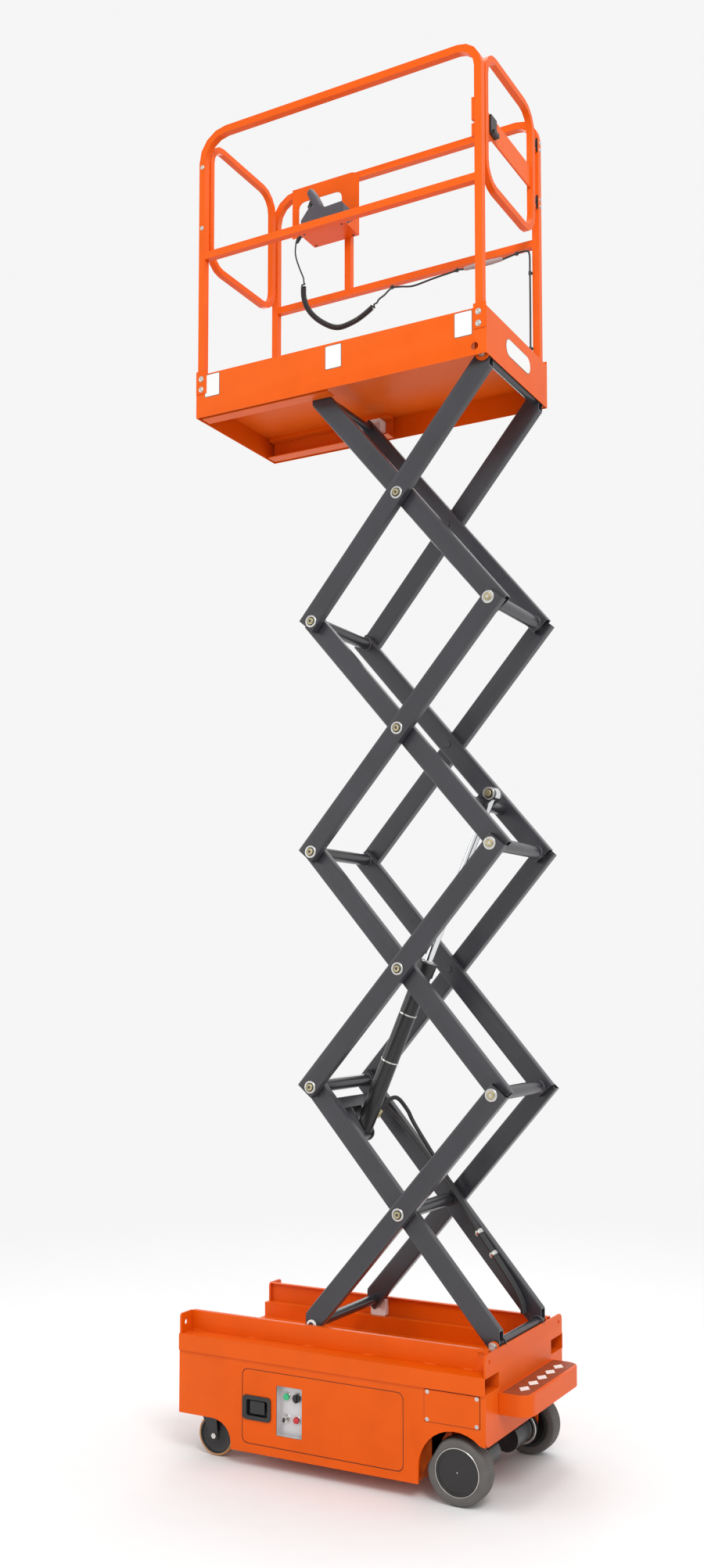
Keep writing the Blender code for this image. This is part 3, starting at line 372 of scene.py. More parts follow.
def weld_ring(name, at, radius, side, body):
    """A rippled fillet bead round a tube where it meets an arm."""
    shape = bmesh.new()
    turns, around, bead = 56, 7, 0.0042
    rings = []
    for k in range(turns):
        t = 2 * math.pi * k / turns
        ripple = 1 + 0.16 * math.cos(t * 19) + 0.07 * math.cos(t * 7 + side)
        out = Vector((math.cos(t), 0, math.sin(t)))
        rings.append([shape.verts.new(Vector(at) + out * (radius + bead * ripple
                                                          * math.cos(a) * 0.9)
                                      + Vector((0, -side * bead * ripple * math.sin(a), 0)))
                      for a in (math.pi * (j / (around - 1)) - math.pi * 0.1
                                for j in range(around))])
    for k in range(turns):
        for j in range(around):
            a, b = rings[k], rings[(k + 1) % turns]
            i = (j + 1) % around
            shape.faces.new([a[j], a[i], b[i], b[j]])
    return piece(name, to_mesh(shape), "weld", body)


# ---- wheels ---------------------------------------------------------------------------------
def drive_wheels():
    for side, where in SIDES:
        hub_low, hub_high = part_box(f"drive_tyre_{where}")
        centre = ((hub_low[0] + hub_high[0]) / 2, 0, (hub_low[2] + hub_high[2]) / 2)
        radius = (hub_high[0] - hub_low[0]) / 2
        inner, outer = 0.2840, 0.3600
        at = (centre[0], side * inner, centre[2])
        wide = outer - inner
        body = f"drive_wheel_{where}"
        bead = 0.0868
        profile = [(0.003, bead), (0.0, bead + 0.004), (0.0, radius - 0.014),
                   (0.002, radius - 0.006), (0.007, radius - 0.0015), (0.014, radius),
                   (wide - 0.014, radius), (wide - 0.007, radius - 0.0015),
                   (wide - 0.002, radius - 0.006), (wide, radius - 0.014),
                   (wide, bead + 0.004), (wide - 0.003, bead), (0.003, bead)]
        shape = turned_mesh(profile, at, (0, side, 0), 180, into=bmesh.new())
        bmesh.ops.remove_doubles(shape, verts=shape.verts, dist=1e-6)
        # fine lateral tread: every other rib of the crown is pressed in
        for vert in shape.verts:
            dx, dz = vert.co.x - centre[0], vert.co.z - centre[2]
            if math.hypot(dx, dz) > radius - 0.003:
                rib = round(math.atan2(dz, dx) / (2 * math.pi) * 180)
                if rib % 2:
                    vert.co.x -= dx / radius * 0.0016
                    vert.co.z -= dz / radius * 0.0016
        tyre = piece(f"drive_tyre_{where}_mesh", to_mesh(shape), "tyre_rubber", body)
        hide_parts(f"drive_tyre_{where}")
        rim = [(0.0705, 0.0868), (0.0742, 0.0866), (0.0752, 0.0855), (0.0752, 0.0838),
               (0.0736, 0.0828), (0.0690, 0.0828), (0.0690, 0.0868), (0.0705, 0.0868)]
        ring = turned(f"rim_ring_{where}", rim, at, (0, side, 0), "zinc_plate", body, 72)
        dish = [(0.0690, 0.0827), (0.0735, 0.0827), (0.0735, 0.0815), (0.0712, 0.0790),
                (0.0708, 0.0500), (0.0706, 0)]
        turned(f"hub_disc_{where}", dish, at, (0, side, 0), "black_paint", body, 72)
        dimple = [(0.0700, 0), (0.0700, 0.0024), (0.0718, 0.0024), (0.0722, 0.0015),
                  (0.0714, 0.0006), (0.0714, 0)]
        turned(f"hub_centre_{where}", dimple, at, (0, side, 0), "zinc_plate", body, 20)
        flange = [(0.0, 0.0626), (0.0030, 0.0640), (0.0060, 0.0640), (0.0085, 0.0626),
                  (0.0085, 0.055), (0.0, 0.055), (0.0, 0.0626)]
        turned(f"motor_flange_{where}", flange, (centre[0], side * 0.2270, centre[2]),
               (0, side, 0), "zinc_plate", "base", 48)


def casters():
    for side, where in SIDES:
        low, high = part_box(f"caster_wheel_{where}")
        centre = ((low[0] + high[0]) / 2, (low[1] + high[1]) / 2, (low[2] + high[2]) / 2)
        radius, half = (high[0] - low[0]) / 2, (high[1] - low[1]) / 2
        body = f"caster_wheel_{where}"
        at = (centre[0], centre[1] - half, centre[2])
        wide = 2 * half
        tread = [(0.002, 0.0715), (0.0, 0.0735), (0.0005, 0.0765), (0.003, 0.0790),
                 (0.008, radius), (wide - 0.008, radius), (wide - 0.003, 0.0790),
                 (wide - 0.0005, 0.0765), (wide, 0.0735), (wide - 0.002, 0.0715),
                 (0.002, 0.0715)]
        tyre = turned(f"caster_tread_{where}", tread, at, (0, 1, 0), "polyurethane", body, 72)
        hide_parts(f"caster_wheel_{where}")
        core = [(0.0, 0.0075), (0.0, 0.0150), (0.006, 0.0190), (0.009, 0.0240),
                (0.010, 0.0560), (0.007, 0.0640), (0.0025, 0.0660), (0.0020, 0.0716),
                (wide - 0.0020, 0.0716), (wide - 0.0025, 0.0660), (wide - 0.007, 0.0640),
                (wide - 0.010, 0.0560), (wide - 0.009, 0.0240), (wide - 0.006, 0.0190),
                (wide, 0.0150), (wide, 0.0075)]
        disc = turned(f"caster_core_{where}", core, at, (0, 1, 0), "black_plastic", body, 72)
        for face in (-1, 1):
            nut = slab(hexagon(0.0115), (0, face, 0),
                       (centre[0], centre[1] + face * 0.0284, centre[2]), (0, 0, 1), 0.0070)
            piece(f"caster_nut_{where}_{'in' if face * side < 0 else 'out'}", nut,
                  "zinc_plate", f"caster_fork_{where}", bevel=0.0008)


# ---- cylinder and hoses ---------------------------------------------------------------------
def cylinder_detail():
    foot = at_joint("cylinder_foot")
    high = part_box("cylinder_rod")[1]
    eye_radius, cheek, pin_end = 0.0270, 0.0331, 0.0405
    eye = Vector((high.x - eye_radius, 0, high.z - eye_radius))
    way = Vector(JOINT["cylinder_stroke"]["axis"])
    band = [(0.0, 0.0352), (0.0, 0.0366), (0.0055, 0.0366), (0.0055, 0.0352), (0.0, 0.0352)]
    for number, reach in enumerate((0.316, 0.520)):
        turned(f"barrel_band_{number}", band, foot + way * reach, way, "zinc_plate",
               "cylinder_barrel", 48)
    gland = [(-0.004, 0.0402), (0.010, 0.0404), (0.0235, 0.0404), (0.026, 0.0380),
             (0.026, 0.0185), (0.0150, 0.0178)]
    turned("gland_nut", gland, foot + way * 0.7205, way, "black_paint", "cylinder_barrel", 48)
    wiper = [(0.0, 0.0255), (0.0040, 0.0250), (0.0060, 0.0215), (0.0050, 0.0176), (0.0, 0.0176)]
    turned("rod_wiper", wiper, foot + way * 0.7460, way, "zinc_plate", "cylinder_barrel", 40)
    for side, where in SIDES:
        ring = [(0.0, 0.0172), (0.0, 0.0250), (0.0030, 0.0252), (0.0044, 0.0236),
                (0.0046, 0.0178), (0.0, 0.0172)]
        cap = [(0.0, 0.0), (0.0, 0.0142), (0.0075, 0.0140), (0.0090, 0.0126), (0.0092, 0.0)]
        turned(f"eye_washer_{where}", ring, (eye.x, side * cheek, eye.z), (0, side, 0),
               "zinc_plate", "inner_3", 40)
        turned(f"eye_pin_{where}", cap, (eye.x, side * pin_end, eye.z), (0, side, 0),
               "pin_steel", "inner_3", 32)
    port = foot + way * 0.085 + Vector((0, 0.052, 0))
    elbow = [port + Vector((0, -0.006, 0)), port + Vector((0, 0.006, 0.002)),
             port + Vector((-0.003, 0.014, 0.010)), port + Vector((-0.005, 0.017, 0.022))]
    cable("port_elbow", smooth_path(elbow, 4), 0.0095, "pin_steel", "cylinder_barrel")


PRESSURE_ROUTE = [(-0.062, 0.070, 1.318), (-0.046, 0.095, 1.362), (-0.015, 0.135, 1.385),
                  (0.020, 0.165, 1.335), (0.060, 0.172, 1.262), (0.222, 0.172, 1.036),
                  (0.330, 0.172, 0.885), (0.425, 0.172, 0.762), (0.485, 0.172, 0.680),
                  (0.518, 0.172, 0.620), (0.526, 0.172, 0.578)]
RETURN_ROUTE = [(-0.088, 0.068, 1.306), (-0.080, 0.085, 1.340), (-0.058, 0.108, 1.352),
                (-0.025, 0.132, 1.318), (0.015, 0.148, 1.270), (0.222, 0.151, 1.036),
                (0.330, 0.151, 0.885), (0.425, 0.151, 0.762), (0.485, 0.151, 0.680),
                (0.518, 0.151, 0.620), (0.526, 0.151, 0.578)]


def hoses():
    for name, route in (("pressure_hose", PRESSURE_ROUTE), ("return_hose", RETURN_ROUTE)):
        path = smooth_path(route)
        made = cable(name + "_line", path, 0.0085, "hose_rubber", "inner_1", 6)
        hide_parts(name)
        start = Vector(route[0])
        way = (Vector(route[1]) - start).normalized()
        crimp = [(-0.012, 0.0), (-0.012, 0.0070), (-0.002, 0.0072), (0.0, 0.0100),
                 (0.004, 0.0106), (0.0070, 0.0098), (0.0100, 0.0106), (0.0130, 0.0098),
                 (0.0160, 0.0106), (0.0220, 0.0100), (0.0225, 0.0085)]
        turned(name + "_crimp", crimp, start, way, "pin_steel", "inner_1", 24)
    lower = Vector(RETURN_ROUTE[6]).lerp(Vector(PRESSURE_ROUTE[6]), 0.5)
    upper = Vector(RETURN_ROUTE[7]).lerp(Vector(PRESSURE_ROUTE[7]), 0.5)
    along = (upper - lower).normalized()
    for number, reach in enumerate((0.10, 0.74)):
        spot = lower.lerp(upper, reach)
        shape = bmesh.new()
        strap = []
        for k in range(25):
            t = 2 * math.pi * k / 24
            flat = 0.0105 if math.cos(t) > 0 else -0.0105
            strap.append(spot + Vector((0, flat + 0.0100 * math.cos(t), 0))
                         + along.cross(Vector((0, 1, 0))) * 0.0100 * math.sin(t))
        rows = [[shape.verts.new(p + along * w) for p in strap[:-1]] for w in (-0.008, 0.008)]
        for k in range(24):
            j = (k + 1) % 24
            shape.faces.new([rows[0][k], rows[0][j], rows[1][j], rows[1][k]])
        clip = piece(f"hose_clip_{number}", to_mesh(shape), "zinc_plate", "inner_1")
        thick = clip.modifiers.new("thick", "SOLIDIFY")
        thick.thickness, thick.offset = 0.0016, 0
        ear = spot + along.cross(Vector((0, 1, 0))) * -0.018
        bolt(f"hose_clip_bolt_{number}", ear + Vector((0, 0.0110, 0)), (0, -1, 0), "inner_1",
             0.0065, 0.006)


# ---- entry step -----------------------------------------------------------------------------
def step_tread():
    low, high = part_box("end_step")
    top, front = high[2], high[0]
    shape = bmesh.new()
    depth, corner = front - low[0], 0.055
    pitch = 0.0062
    count = int((depth - 0.016) / pitch)
    for k in range(count):
        x = low[0] + 0.010 + k * pitch
        over = x - (front - corner)
        half = high[1] - 0.008
        if over > 0:
            half -= corner - math.sqrt(max(0, corner ** 2 - over ** 2))
        bar = rounded(0.0013, half, 0.0011, 1)
        slab(bar, (0, 0, 1), (x, 0, top - 0.0004), (0, 1, 0), 0.0016, into=shape)
    piece("step_ribs", to_mesh(shape), "step_wear", "base", smooth=False)
    size = 0.0225
    for k in range(5):
        outline = [(size * 0.92, 0), (0, size * 1.5), (-size * 0.92, 0), (0, -size * 1.5)]
        y = -0.187 + 0.084 * k
        mesh = slab(outline, (0, 0, 1), (low[0] + 0.062, y + 0.019, top), (0, 1, 0), 0.0021)
        piece(f"step_diamond_{k}", mesh, "tread_white", "base", bevel=0.0005)


# ---- labels and small fasteners -------------------------------------------------------------
def label(name, at, normal, up, half_u, half_v, radius, body):
    """A blank rating plate: a grey rim with a white face, and no lettering."""
    rim = slab(rounded(half_u, half_v, radius), normal, at, up, 0.0006)
    piece(name + "_rim", rim, "label_edge", body, smooth=False)
    inner = slab(rounded(half_u - 0.0022, half_v - 0.0022, max(radius - 0.002, 0.001)), normal,
                 Vector(at) + Vector(normal) * 0.0006, up, 0.0003)
    piece(name + "_face", inner, "label_white", body, smooth=False)


def labels():
    deck_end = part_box("platform_deck")[1][0]
    skirt, middle, end_middle = -0.3060, 4.330, 4.302
    for number, (x, dz) in enumerate(((COLUMN_X + 0.305, 0.0), (COLUMN_X - 0.260, -0.004),
                                      (COLUMN_X - 0.840, 0.0))):
        label(f"deck_label_{number}", (x, skirt, middle + dz), (0, -1, 0), (0, 0, 1), 0.037, 0.048,
              0.006, "platform")
    label("end_label", (deck_end, 0.002, end_middle), (1, 0, 0), (0, 0, 1), 0.122, 0.035, 0.034,
          "platform")


def frame_slab(half_u, half_v, radius, width, normal, at, up, thickness):
    """A flat ring with rounded corners, its back face at a point."""
    shape = bmesh.new()
    normal, up = Vector(normal), Vector(up)
    across = up.cross(normal)
    rings = [[shape.verts.new(Vector(at) + across * u + up * v + normal * lift)
              for u, v in rounded(half_u - inset, half_v - inset, max(radius - inset, 0.001))]
             for inset, lift in ((0, 0), (0, thickness), (width, thickness), (width, 0))]
    for a, b in zip(rings, rings[1:] + rings[:1]):
        for k in range(len(a)):
            j = (k + 1) % len(a)
            shape.faces.new([a[k], a[j], b[j], b[k]])
    return to_mesh(shape)


def seams():
    """Painted shade in the gaps round the access door and the side cover, as dark strips, and a rubber trim round
    the door's window.
    """
    # painted shade: the door and cover strips are dark sheets standing in for the shadow in those seams
    for node, name, past, width, radius, back in (
            ("access_door", "door_seam_shade", 0.0024, 0.0022, 0.0250, -0.3721),
            ("side_cover", "cover_seam_shade", 0.0018, 0.0060, 0.0050, -0.3722)):
        low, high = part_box(node)
        middle = (low + high) / 2
        seam_shade_strip = frame_slab((high[0] - low[0]) / 2 + past, (high[2] - low[2]) / 2 + past, radius,
                          width, (0, -1, 0), (middle[0], back, middle[2]), (0, 0, 1), 0.0003)
        piece(name, seam_shade_strip, "painted_seam_shade", "base", smooth=False)
    rim = frame_slab(0.0565 + 0.003, 0.093 + 0.003, 0.003, 0.0035, (0, -1, 0),
                     (COLUMN_X - 0.4115, -0.3690, 0.232), (0, 0, 1), 0.0014)
    piece("window_trim", rim, "hose_rubber", "access_door", smooth=False)


def track_welds():
    """Painted weld beads along the foot of each slide track."""
    for side, where in SIDES:
        shape = bmesh.new()
        for x in [COLUMN_X - 0.884 + 0.258 * k for k in range(5)] + [COLUMN_X + 0.300]:
            rings = []
            for k in range(25):
                t = k / 24
                swell = 0.0052 * math.sqrt(max(0.0, math.sin(math.pi * t))) \
                    * (1 + 0.12 * math.sin(t * 70)) + 0.0003
                spot = Vector((x + 0.031 * (2 * t - 1), side * 0.3012, 0.4688))
                rings.append([shape.verts.new(spot + Vector((0, side * math.cos(a) * swell,
                                                             math.sin(a) * swell)))
                              for a in (math.pi * 2 * j / 10 for j in range(10))])
            for a, b in zip(rings, rings[1:]):
                for j in range(10):
                    shape.faces.new([a[j], a[(j + 1) % 10], b[(j + 1) % 10], b[j]])
            shape.faces.new(rings[0])
            shape.faces.new(rings[-1])
        piece(f"track_welds_{where}", to_mesh(shape), "orange_paint", "base")


def gate_hardware():
    """Black hinge knuckles and leaves, and the bolts through the far post."""
    pivot = at_joint("gate_hinge")
    for number, z in enumerate((5.310, 5.066)):
        sleeve = [(0.0, 0.0050), (0.0, 0.0092), (0.0012, 0.0100), (0.0370, 0.0100),
                  (0.0382, 0.0092), (0.0382, 0.0050), (0.0, 0.0050)]
        turned(f"hinge_knuckle_{number}", sleeve, (pivot.x, pivot.y, z - 0.0200), (0, 0, 1),
               "black_paint", "entry_gate", 28)
        leaf = slab(rounded(0.0130, 0.0300, 0.003), (0, -1, 0), (pivot.x, 0.2724, z),
                    (0, 0, 1), 0.0032)
        piece(f"hinge_leaf_{number}", leaf, "black_paint", "platform", bevel=0.0006)
        for row, lift in enumerate((-0.0150, 0.0150)):
            bolt(f"hinge_bolt_{number}_{row}", (pivot.x + 0.0150, 0.2900, z + lift),
                 (1, 0, 0), "platform", 0.0058, 0.0045)


def fasteners():
    for side, where in SIDES:
        face = side * 0.3088
        for x in (COLUMN_X + POST_NEAR, COLUMN_X - 0.894):
            for z in (4.364, 4.319):
                bolt(f"post_bolt_{where}_{'entry' if x > 0 else 'back'}_{int(z * 1000)}",
                     (x, face, z), (0, side, 0), "platform", 0.0090, 0.0055)
        for z in (5.285, 5.020):
            bolt(f"loop_bolt_{where}_{int(z * 1000)}", (COLUMN_X - 0.900, side * 0.3024, z),
                 (0, side, 0), "platform", 0.0070, 0.0045)
    for x, z in ((0.173, 0.392), (0.367, 0.392), (0.172, 0.295), (0.366, 0.296)):
        bolt(f"cover_screw_{int(x * 1000)}_{int(z * 1000)}", (COLUMN_X + x, -0.3752, z),
             (0, -1, 0), "base", 0.0055, 0.0030)


POST_NEAR = 0.3685

# ---- ground control panel -------------------------------------------------------------------
def ground_controls():
    face = -0.3450
    for name, ring in (("green_button", 0.0165), ("red_button", 0.0165),
                       ("rotary_switch", 0.0185), ("key_switch", 0.0165)):
        low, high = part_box(name)
        at = ((low[0] + high[0]) / 2, face, (low[2] + high[2]) / 2)
        collar = [(0.0, ring - 0.0025), (0.0, ring + 0.0015), (0.0020, ring + 0.0015),
                  (0.0034, ring), (0.0034, ring - 0.0028), (0.0, ring - 0.0028)]
        made = turned(name + "_collar", collar, at, (0, -1, 0), "zinc_plate", "base", 40)
    for name, radius, height, material in (("green_button", 0.0128, 0.0100, "green_plastic"),
                                           ("red_button", 0.0128, 0.0100, "red_plastic")):
        low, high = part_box(name)
        at = ((low[0] + high[0]) / 2, face, (low[2] + high[2]) / 2)
        dome = [(0.0040, 0), (0.0040, radius), (height - 0.003, radius),
                (height - 0.001, radius * 0.93), (height, radius * 0.75), (height, 0)]
        made = turned(name + "_cap", dome, at, (0, -1, 0), material, name, 40)
        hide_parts(name)
    low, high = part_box("key_switch")
    at = Vector(((low[0] + high[0]) / 2, face, (low[2] + high[2]) / 2))
    barrel = [(0.004, 0.0), (0.004, 0.0128), (0.0085, 0.0126), (0.0100, 0.0115), (0.0100, 0.0)]
    made = turned("key_barrel", barrel, at, (0, -1, 0), "zinc_plate", "key_switch", 40)
    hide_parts("key_switch")
    blade = slab(rounded(0.0011, 0.0075, 0.001, 2), (0, -1, 0), at + Vector((0, -0.0095, 0)),
                 (0, 0, 1), 0.009)
    piece("key_blade", blade, "zinc_plate", "key_switch", bevel=0.0003)
    bow = slab(rounded(0.0075, 0.0090, 0.0070, 5), (1, 0, 0), at + Vector((-0.0016, -0.0240, 0)),
               (0, 0, 1), 0.0032)
    piece("key_bow", bow, "black_plastic", "key_switch", bevel=0.0006)


# ---- platform controls and cable ------------------------------------------------------------
def platform_controls():
    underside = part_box("control_holder")[0][2]
    for number, (x, y) in enumerate(((-0.671, 0.150), (-0.482, 0.150), (-0.673, 0.259),
                                     (-0.483, 0.259))):
        bolt(f"shelf_screw_{number}", (COLUMN_X + x, y, underside), (0, 0, -1), "platform",
             0.0042, 0.0024, "black_plastic")
    pivot = at_joint("joystick_tilt")
    boot = [(-0.0060, 0.0340), (-0.0040, 0.0330), (-0.0020, 0.0280), (0.0, 0.0300),
            (0.0025, 0.0240), (0.0040, 0.0262), (0.0065, 0.0205), (0.0080, 0.0225),
            (0.0105, 0.0175), (0.0120, 0.0)]
    turned("joystick_boot", boot, pivot - Vector((0, 0, 0.0005)), (0, 0, 1), "hose_rubber",
           "platform", 40)
    stem = [(0, 0, 0), (0, 0, 0.014), (-0.014, 0, 0.040), (-0.030, 0, 0.070), (-0.044, 0, 0.092),
            (-0.053, 0, 0.102)]
    path = smooth_path([pivot + Vector(p) for p in stem], 5)
    shape = bmesh.new()
    rings, around = [], 28
    for k, here in enumerate(path):
        t = k / (len(path) - 1)
        ahead = path[min(k + 1, len(path) - 1)] - path[max(k - 1, 0)]
        ahead.normalize()
        across = ahead.cross(Vector((0, 1, 0)))
        swell = 0.0145 + 0.0050 * math.sin(math.pi * min(1, t * 1.15)) + 0.0015 * t
        if t > 0.9:
            swell *= math.sqrt(max(0.02, 1 - ((t - 0.9) / 0.1) ** 2 * 0.85))
        rings.append([shape.verts.new(here + across * math.cos(a) * swell * 1.06
                                      + Vector((0, 1, 0)) * math.sin(a) * swell)
                      for a in (2 * math.pi * j / around for j in range(around))])
    for a, b in zip(rings, rings[1:]):
        for j in range(around):
            shape.faces.new([a[j], a[(j + 1) % around], b[(j + 1) % around], b[j]])
    shape.faces.new(rings[0])
    shape.faces.new(rings[-1])
    grip = piece("joystick_grip", to_mesh(shape), "grip_plastic", "joystick")
    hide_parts("joystick")
    trigger = slab(rounded(0.008, 0.019, 0.006, 4), (0, -1, 0),
                   pivot + Vector((-0.046, 0.007, 0.040)), (0.45, 0, 1), 0.014)
    piece("joystick_trigger", trigger, "black_plastic", "joystick", bevel=0.002)


LEAD_R, COIL_R, COIL_WIRE = 0.0040, 0.0124, 0.0034
LEAD_ROUTE = [(-0.5150, 0.180, 5.157), (-0.524, 0.181, 5.154), (-0.533, 0.182, 5.132),
              (-0.537, 0.184, 5.085), (-0.522, 0.186, 5.030), (-0.500, 0.188, 4.974)]
COIL_ROUTE = [(-0.497, 0.190, 4.955), (-0.496, 0.190, 4.880), (-0.468, 0.190, 4.812),
              (-0.408, 0.192, 4.750), (-0.330, 0.196, 4.708), (-0.252, 0.202, 4.718),
              (-0.192, 0.210, 4.748), (-0.145, 0.220, 4.786)]
TAIL_ROUTE = [(-0.1450, 0.220, 4.786), (-0.1365, 0.2245, 4.8020), (-0.118, 0.236, 4.820),
              (-0.092, 0.256, 4.854), (-0.050, 0.260, 4.852), (0.010, 0.262, 4.842),
              (0.110, 0.262, 4.852),
              (0.225, 0.262, 4.860), (0.240, 0.262, 4.858), (0.2500, 0.262, 4.858)]
RAIL_ROUTE = [(0.428, 0.262, 4.856), (0.485, 0.262, 4.864), (0.525, 0.262, 4.866),
              (0.545, 0.262, 4.850), (0.547, 0.262, 4.770), (0.5475, 0.262, 4.610),
              (0.547, 0.262, 4.450), (0.547, 0.262, 4.330), (0.547, 0.262, 4.302)]


WIDEN_LENGTH, WIND_LENGTH = 0.026, 0.042  # how soon the helix gets its radius, and its pitch
COIL_TURNS = 72


def coiled(lead, route, radius, wire, turns):
    """A lead that widens into a helix round a given centre line, and closes at its end."""
    per_turn, lead_steps = 16, 24
    centre = smooth_path(lead + route, lead_steps)
    straight = length_of(smooth_path(lead + route[:1], lead_steps))
    lengths = [0.0]
    for a, b in zip(centre, centre[1:]):
        lengths.append(lengths[-1] + (b - a).length)
    path, side, segment, turn = [], Vector((0, 1, 0)), 0, 0.0
    marks = [straight * k / lead_steps for k in range(lead_steps)]
    marks += [straight + (lengths[-1] - straight) * k / (turns * per_turn)
              for k in range(turns * per_turn + 1)]
    for want in marks:
        while segment < len(centre) - 2 and lengths[segment + 1] < want:
            segment += 1
        gap = max(1e-9, lengths[segment + 1] - lengths[segment])
        here = centre[segment].lerp(centre[segment + 1],
                                    min(1.0, (want - lengths[segment]) / gap))
        along = (centre[segment + 1] - centre[segment]).normalized()
        side = (side - along * side.dot(along)).normalized()
        edge = max(0.0, min(want - straight, lengths[-1] - want))
        grow, rate = min(1.0, edge / WIDEN_LENGTH), min(1.0, edge / WIND_LENGTH)
        turn += rate * rate * (3 - 2 * rate) / per_turn
        t = 2 * math.pi * turn
        path.append(here + (side * math.cos(t) + along.cross(side) * math.sin(t))
                    * (radius - wire) * grow * grow * (3 - 2 * grow))
    return path


def control_cable():
    low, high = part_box("cable_connector")
    y, z = (low[1] + high[1]) / 2, (low[2] + high[2]) / 2
    shell = [(0.0, 0.0), (0.0, 0.0062), (0.012, 0.0085), (0.034, 0.0092), (0.040, 0.0108),
             (0.086, 0.0108), (0.088, 0.0090), (0.094, 0.0090), (0.096, 0.0108),
             (0.130, 0.0108), (0.136, 0.0096), (0.164, 0.0086), (0.1758, 0.0060), (0.1762, 0.0)]
    shell_piece = turned("cable_connector_shell", shell, (low[0], y, z), (1, 0, 0),
                         "connector_plastic", "platform", 32)
    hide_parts("cable_connector")
    whole = coiled(LEAD_ROUTE, COIL_ROUTE, COIL_R, COIL_WIRE, COIL_TURNS)
    tail = smooth_path(TAIL_ROUTE, 6)
    curly = cable("curly_cable_line", whole, COIL_WIRE, "hose_rubber", "platform", 3)
    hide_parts("curly_cable")
    run = cable("cable_tail_line", tail, LEAD_R, "hose_rubber", "platform")
    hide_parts("cable_tail")
    down = smooth_path(RAIL_ROUTE, 6)
    drop = cable("rail_cable_line", down, LEAD_R, "hose_rubber", "platform")
    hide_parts("rail_cable")
    boot = []
    for k in range(7):
        boot += [(0.0045 * k, 0.0086 - 0.0004 * k), (0.0045 * k + 0.0022, 0.0066 - 0.0003 * k)]
    start = Vector(LEAD_ROUTE[0])
    turned("cable_boot", [(0, 0)] + boot + [(0.0330, 0)], start + Vector((0.006, 0, 0)),
           (Vector(LEAD_ROUTE[2]) - start).normalized(), "hose_rubber", "platform", 24)
    clips = [((-0.092, 0.258, 4.858), (1, 0, 0)), ((0.215, 0.262, 4.860), (1, 0, 0)),
             ((0.488, 0.262, 4.864), (1, 0, 0)), ((0.547, 0.262, 4.768), (0, 0, 1)),
             ((0.547, 0.262, 4.448), (0, 0, 1))]
    for number, (spot, along) in enumerate(clips):
        along = Vector(along)
        collar = [(-0.006, 0.0040), (-0.006, 0.0062), (0.006, 0.0062), (0.006, 0.0040),
                  (-0.006, 0.0040)]
        turned(f"cable_clip_{number}", collar, spot, along, "black_plastic", "platform", 20)
        foot = slab(rounded(0.0055, 0.0085, 0.002, 2), (0, 1, 0),
                    Vector(spot) + Vector((0, 0.0035, 0.004 if along.x else 0)),
                    (0, 0, 1) if along.x else (1, 0, 0), 0.0062)
        piece(f"cable_clip_foot_{number}", foot, "black_plastic", "platform", bevel=0.001)
    return shell_piece


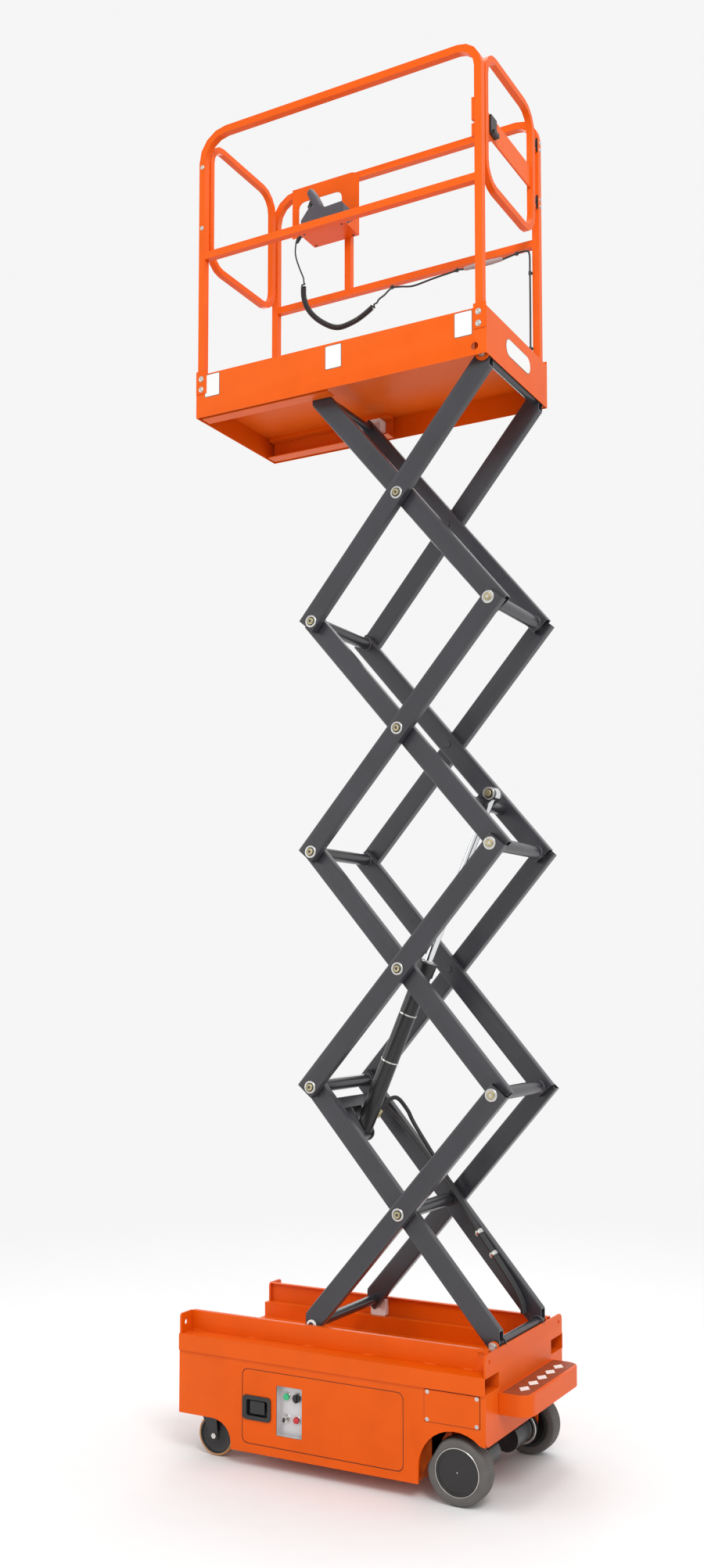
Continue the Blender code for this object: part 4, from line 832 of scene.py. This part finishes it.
# ---- studio ---------------------------------------------------------------------------------
def studio():
    """A pale floor that fades into a pale surround, soft lamps and the camera."""
    pale, strength = (1.0, 1.0, 1.0), 0.92
    floor_mesh = slab(rounded(60, 60, 59, 24), (0, 0, 1), (0, 0, -0.0045), (0, 1, 0), 0.0040)
    floor = bpy.data.objects.new("studio_floor", floor_mesh)
    bpy.context.scene.collection.objects.link(floor)
    made = finish("studio_floor", (0.80, 0.80, 0.80), 0.85, mottle=0.01, specular=0.1)
    nodes, links = made.node_tree.nodes, made.node_tree.links
    place, away = nodes.new("ShaderNodeTexCoord"), nodes.new("ShaderNodeVectorMath")
    away.operation = "LENGTH"
    links.new(place.outputs["Object"], away.inputs[0])
    fade, glow = nodes.new("ShaderNodeMapRange"), nodes.new("ShaderNodeEmission")
    fade.interpolation_type = "SMOOTHSTEP"
    fade.inputs["From Min"].default_value, fade.inputs["From Max"].default_value = 1.2, 6.5
    links.new(away.outputs["Value"], fade.inputs["Value"])
    glow.inputs["Color"].default_value = (*pale, 1)
    glow.inputs["Strength"].default_value = strength
    blend = nodes.new("ShaderNodeMixShader")
    links.new(fade.outputs["Result"], blend.inputs["Fac"])
    links.new(nodes["Principled BSDF"].outputs["BSDF"], blend.inputs[1])
    links.new(glow.outputs["Emission"], blend.inputs[2])
    links.new(blend.outputs["Shader"], nodes["Material Output"].inputs["Surface"])
    floor_mesh.materials.append(made)
    world = bpy.data.worlds.new("studio")
    bpy.context.scene.world = world
    world.use_nodes = True
    world.node_tree.nodes["Background"].inputs["Color"].default_value = (*pale, 1)
    world.node_tree.nodes["Background"].inputs["Strength"].default_value = strength
    bpy.context.scene.view_settings.view_transform = "Standard"
    for name, place, target, size, power in (
            ("key", (4.5, -5.0, 7.5), (0, 0, 2.5), 3.0, 330),
            ("fill", (-5.5, -4.0, 3.0), (0, 0, 2.4), 4.0, 60),
            ("top", (0.5, 1.0, 9.0), (0, 0, 3.0), 3.0, 120),
            ("rim", (-3.0, 6.0, 5.0), (0, 0, 3.0), 3.0, 90)):
        lamp = bpy.data.lights.new(name, "AREA")
        lamp.energy, lamp.size = power, size
        made = bpy.data.objects.new(name, lamp)
        made.location = place
        made.rotation_euler = (Vector(target) - Vector(place)).to_track_quat("-Z", "Y").to_euler()
        bpy.context.scene.collection.objects.link(made)
    camera = bpy.data.objects.new("camera", bpy.data.cameras.new("camera"))
    camera.location = (2.7062, -5.1042, 1.8848)
    camera.rotation_euler = (math.radians(93.835), 0, math.radians(29.194))
    camera.data.lens = 32.99
    camera.data.sensor_width = 36.0
    camera.data.shift_y = 0.0601
    camera.data.clip_end = 60
    bpy.context.scene.collection.objects.link(camera)
    bpy.context.scene.camera = camera


scissor_fittings()
drive_wheels()
casters()
cylinder_detail()
hoses()
step_tread()
labels()
fasteners()
seams()
track_welds()
gate_hardware()
ground_controls()
platform_controls()
control_cable()
studio()
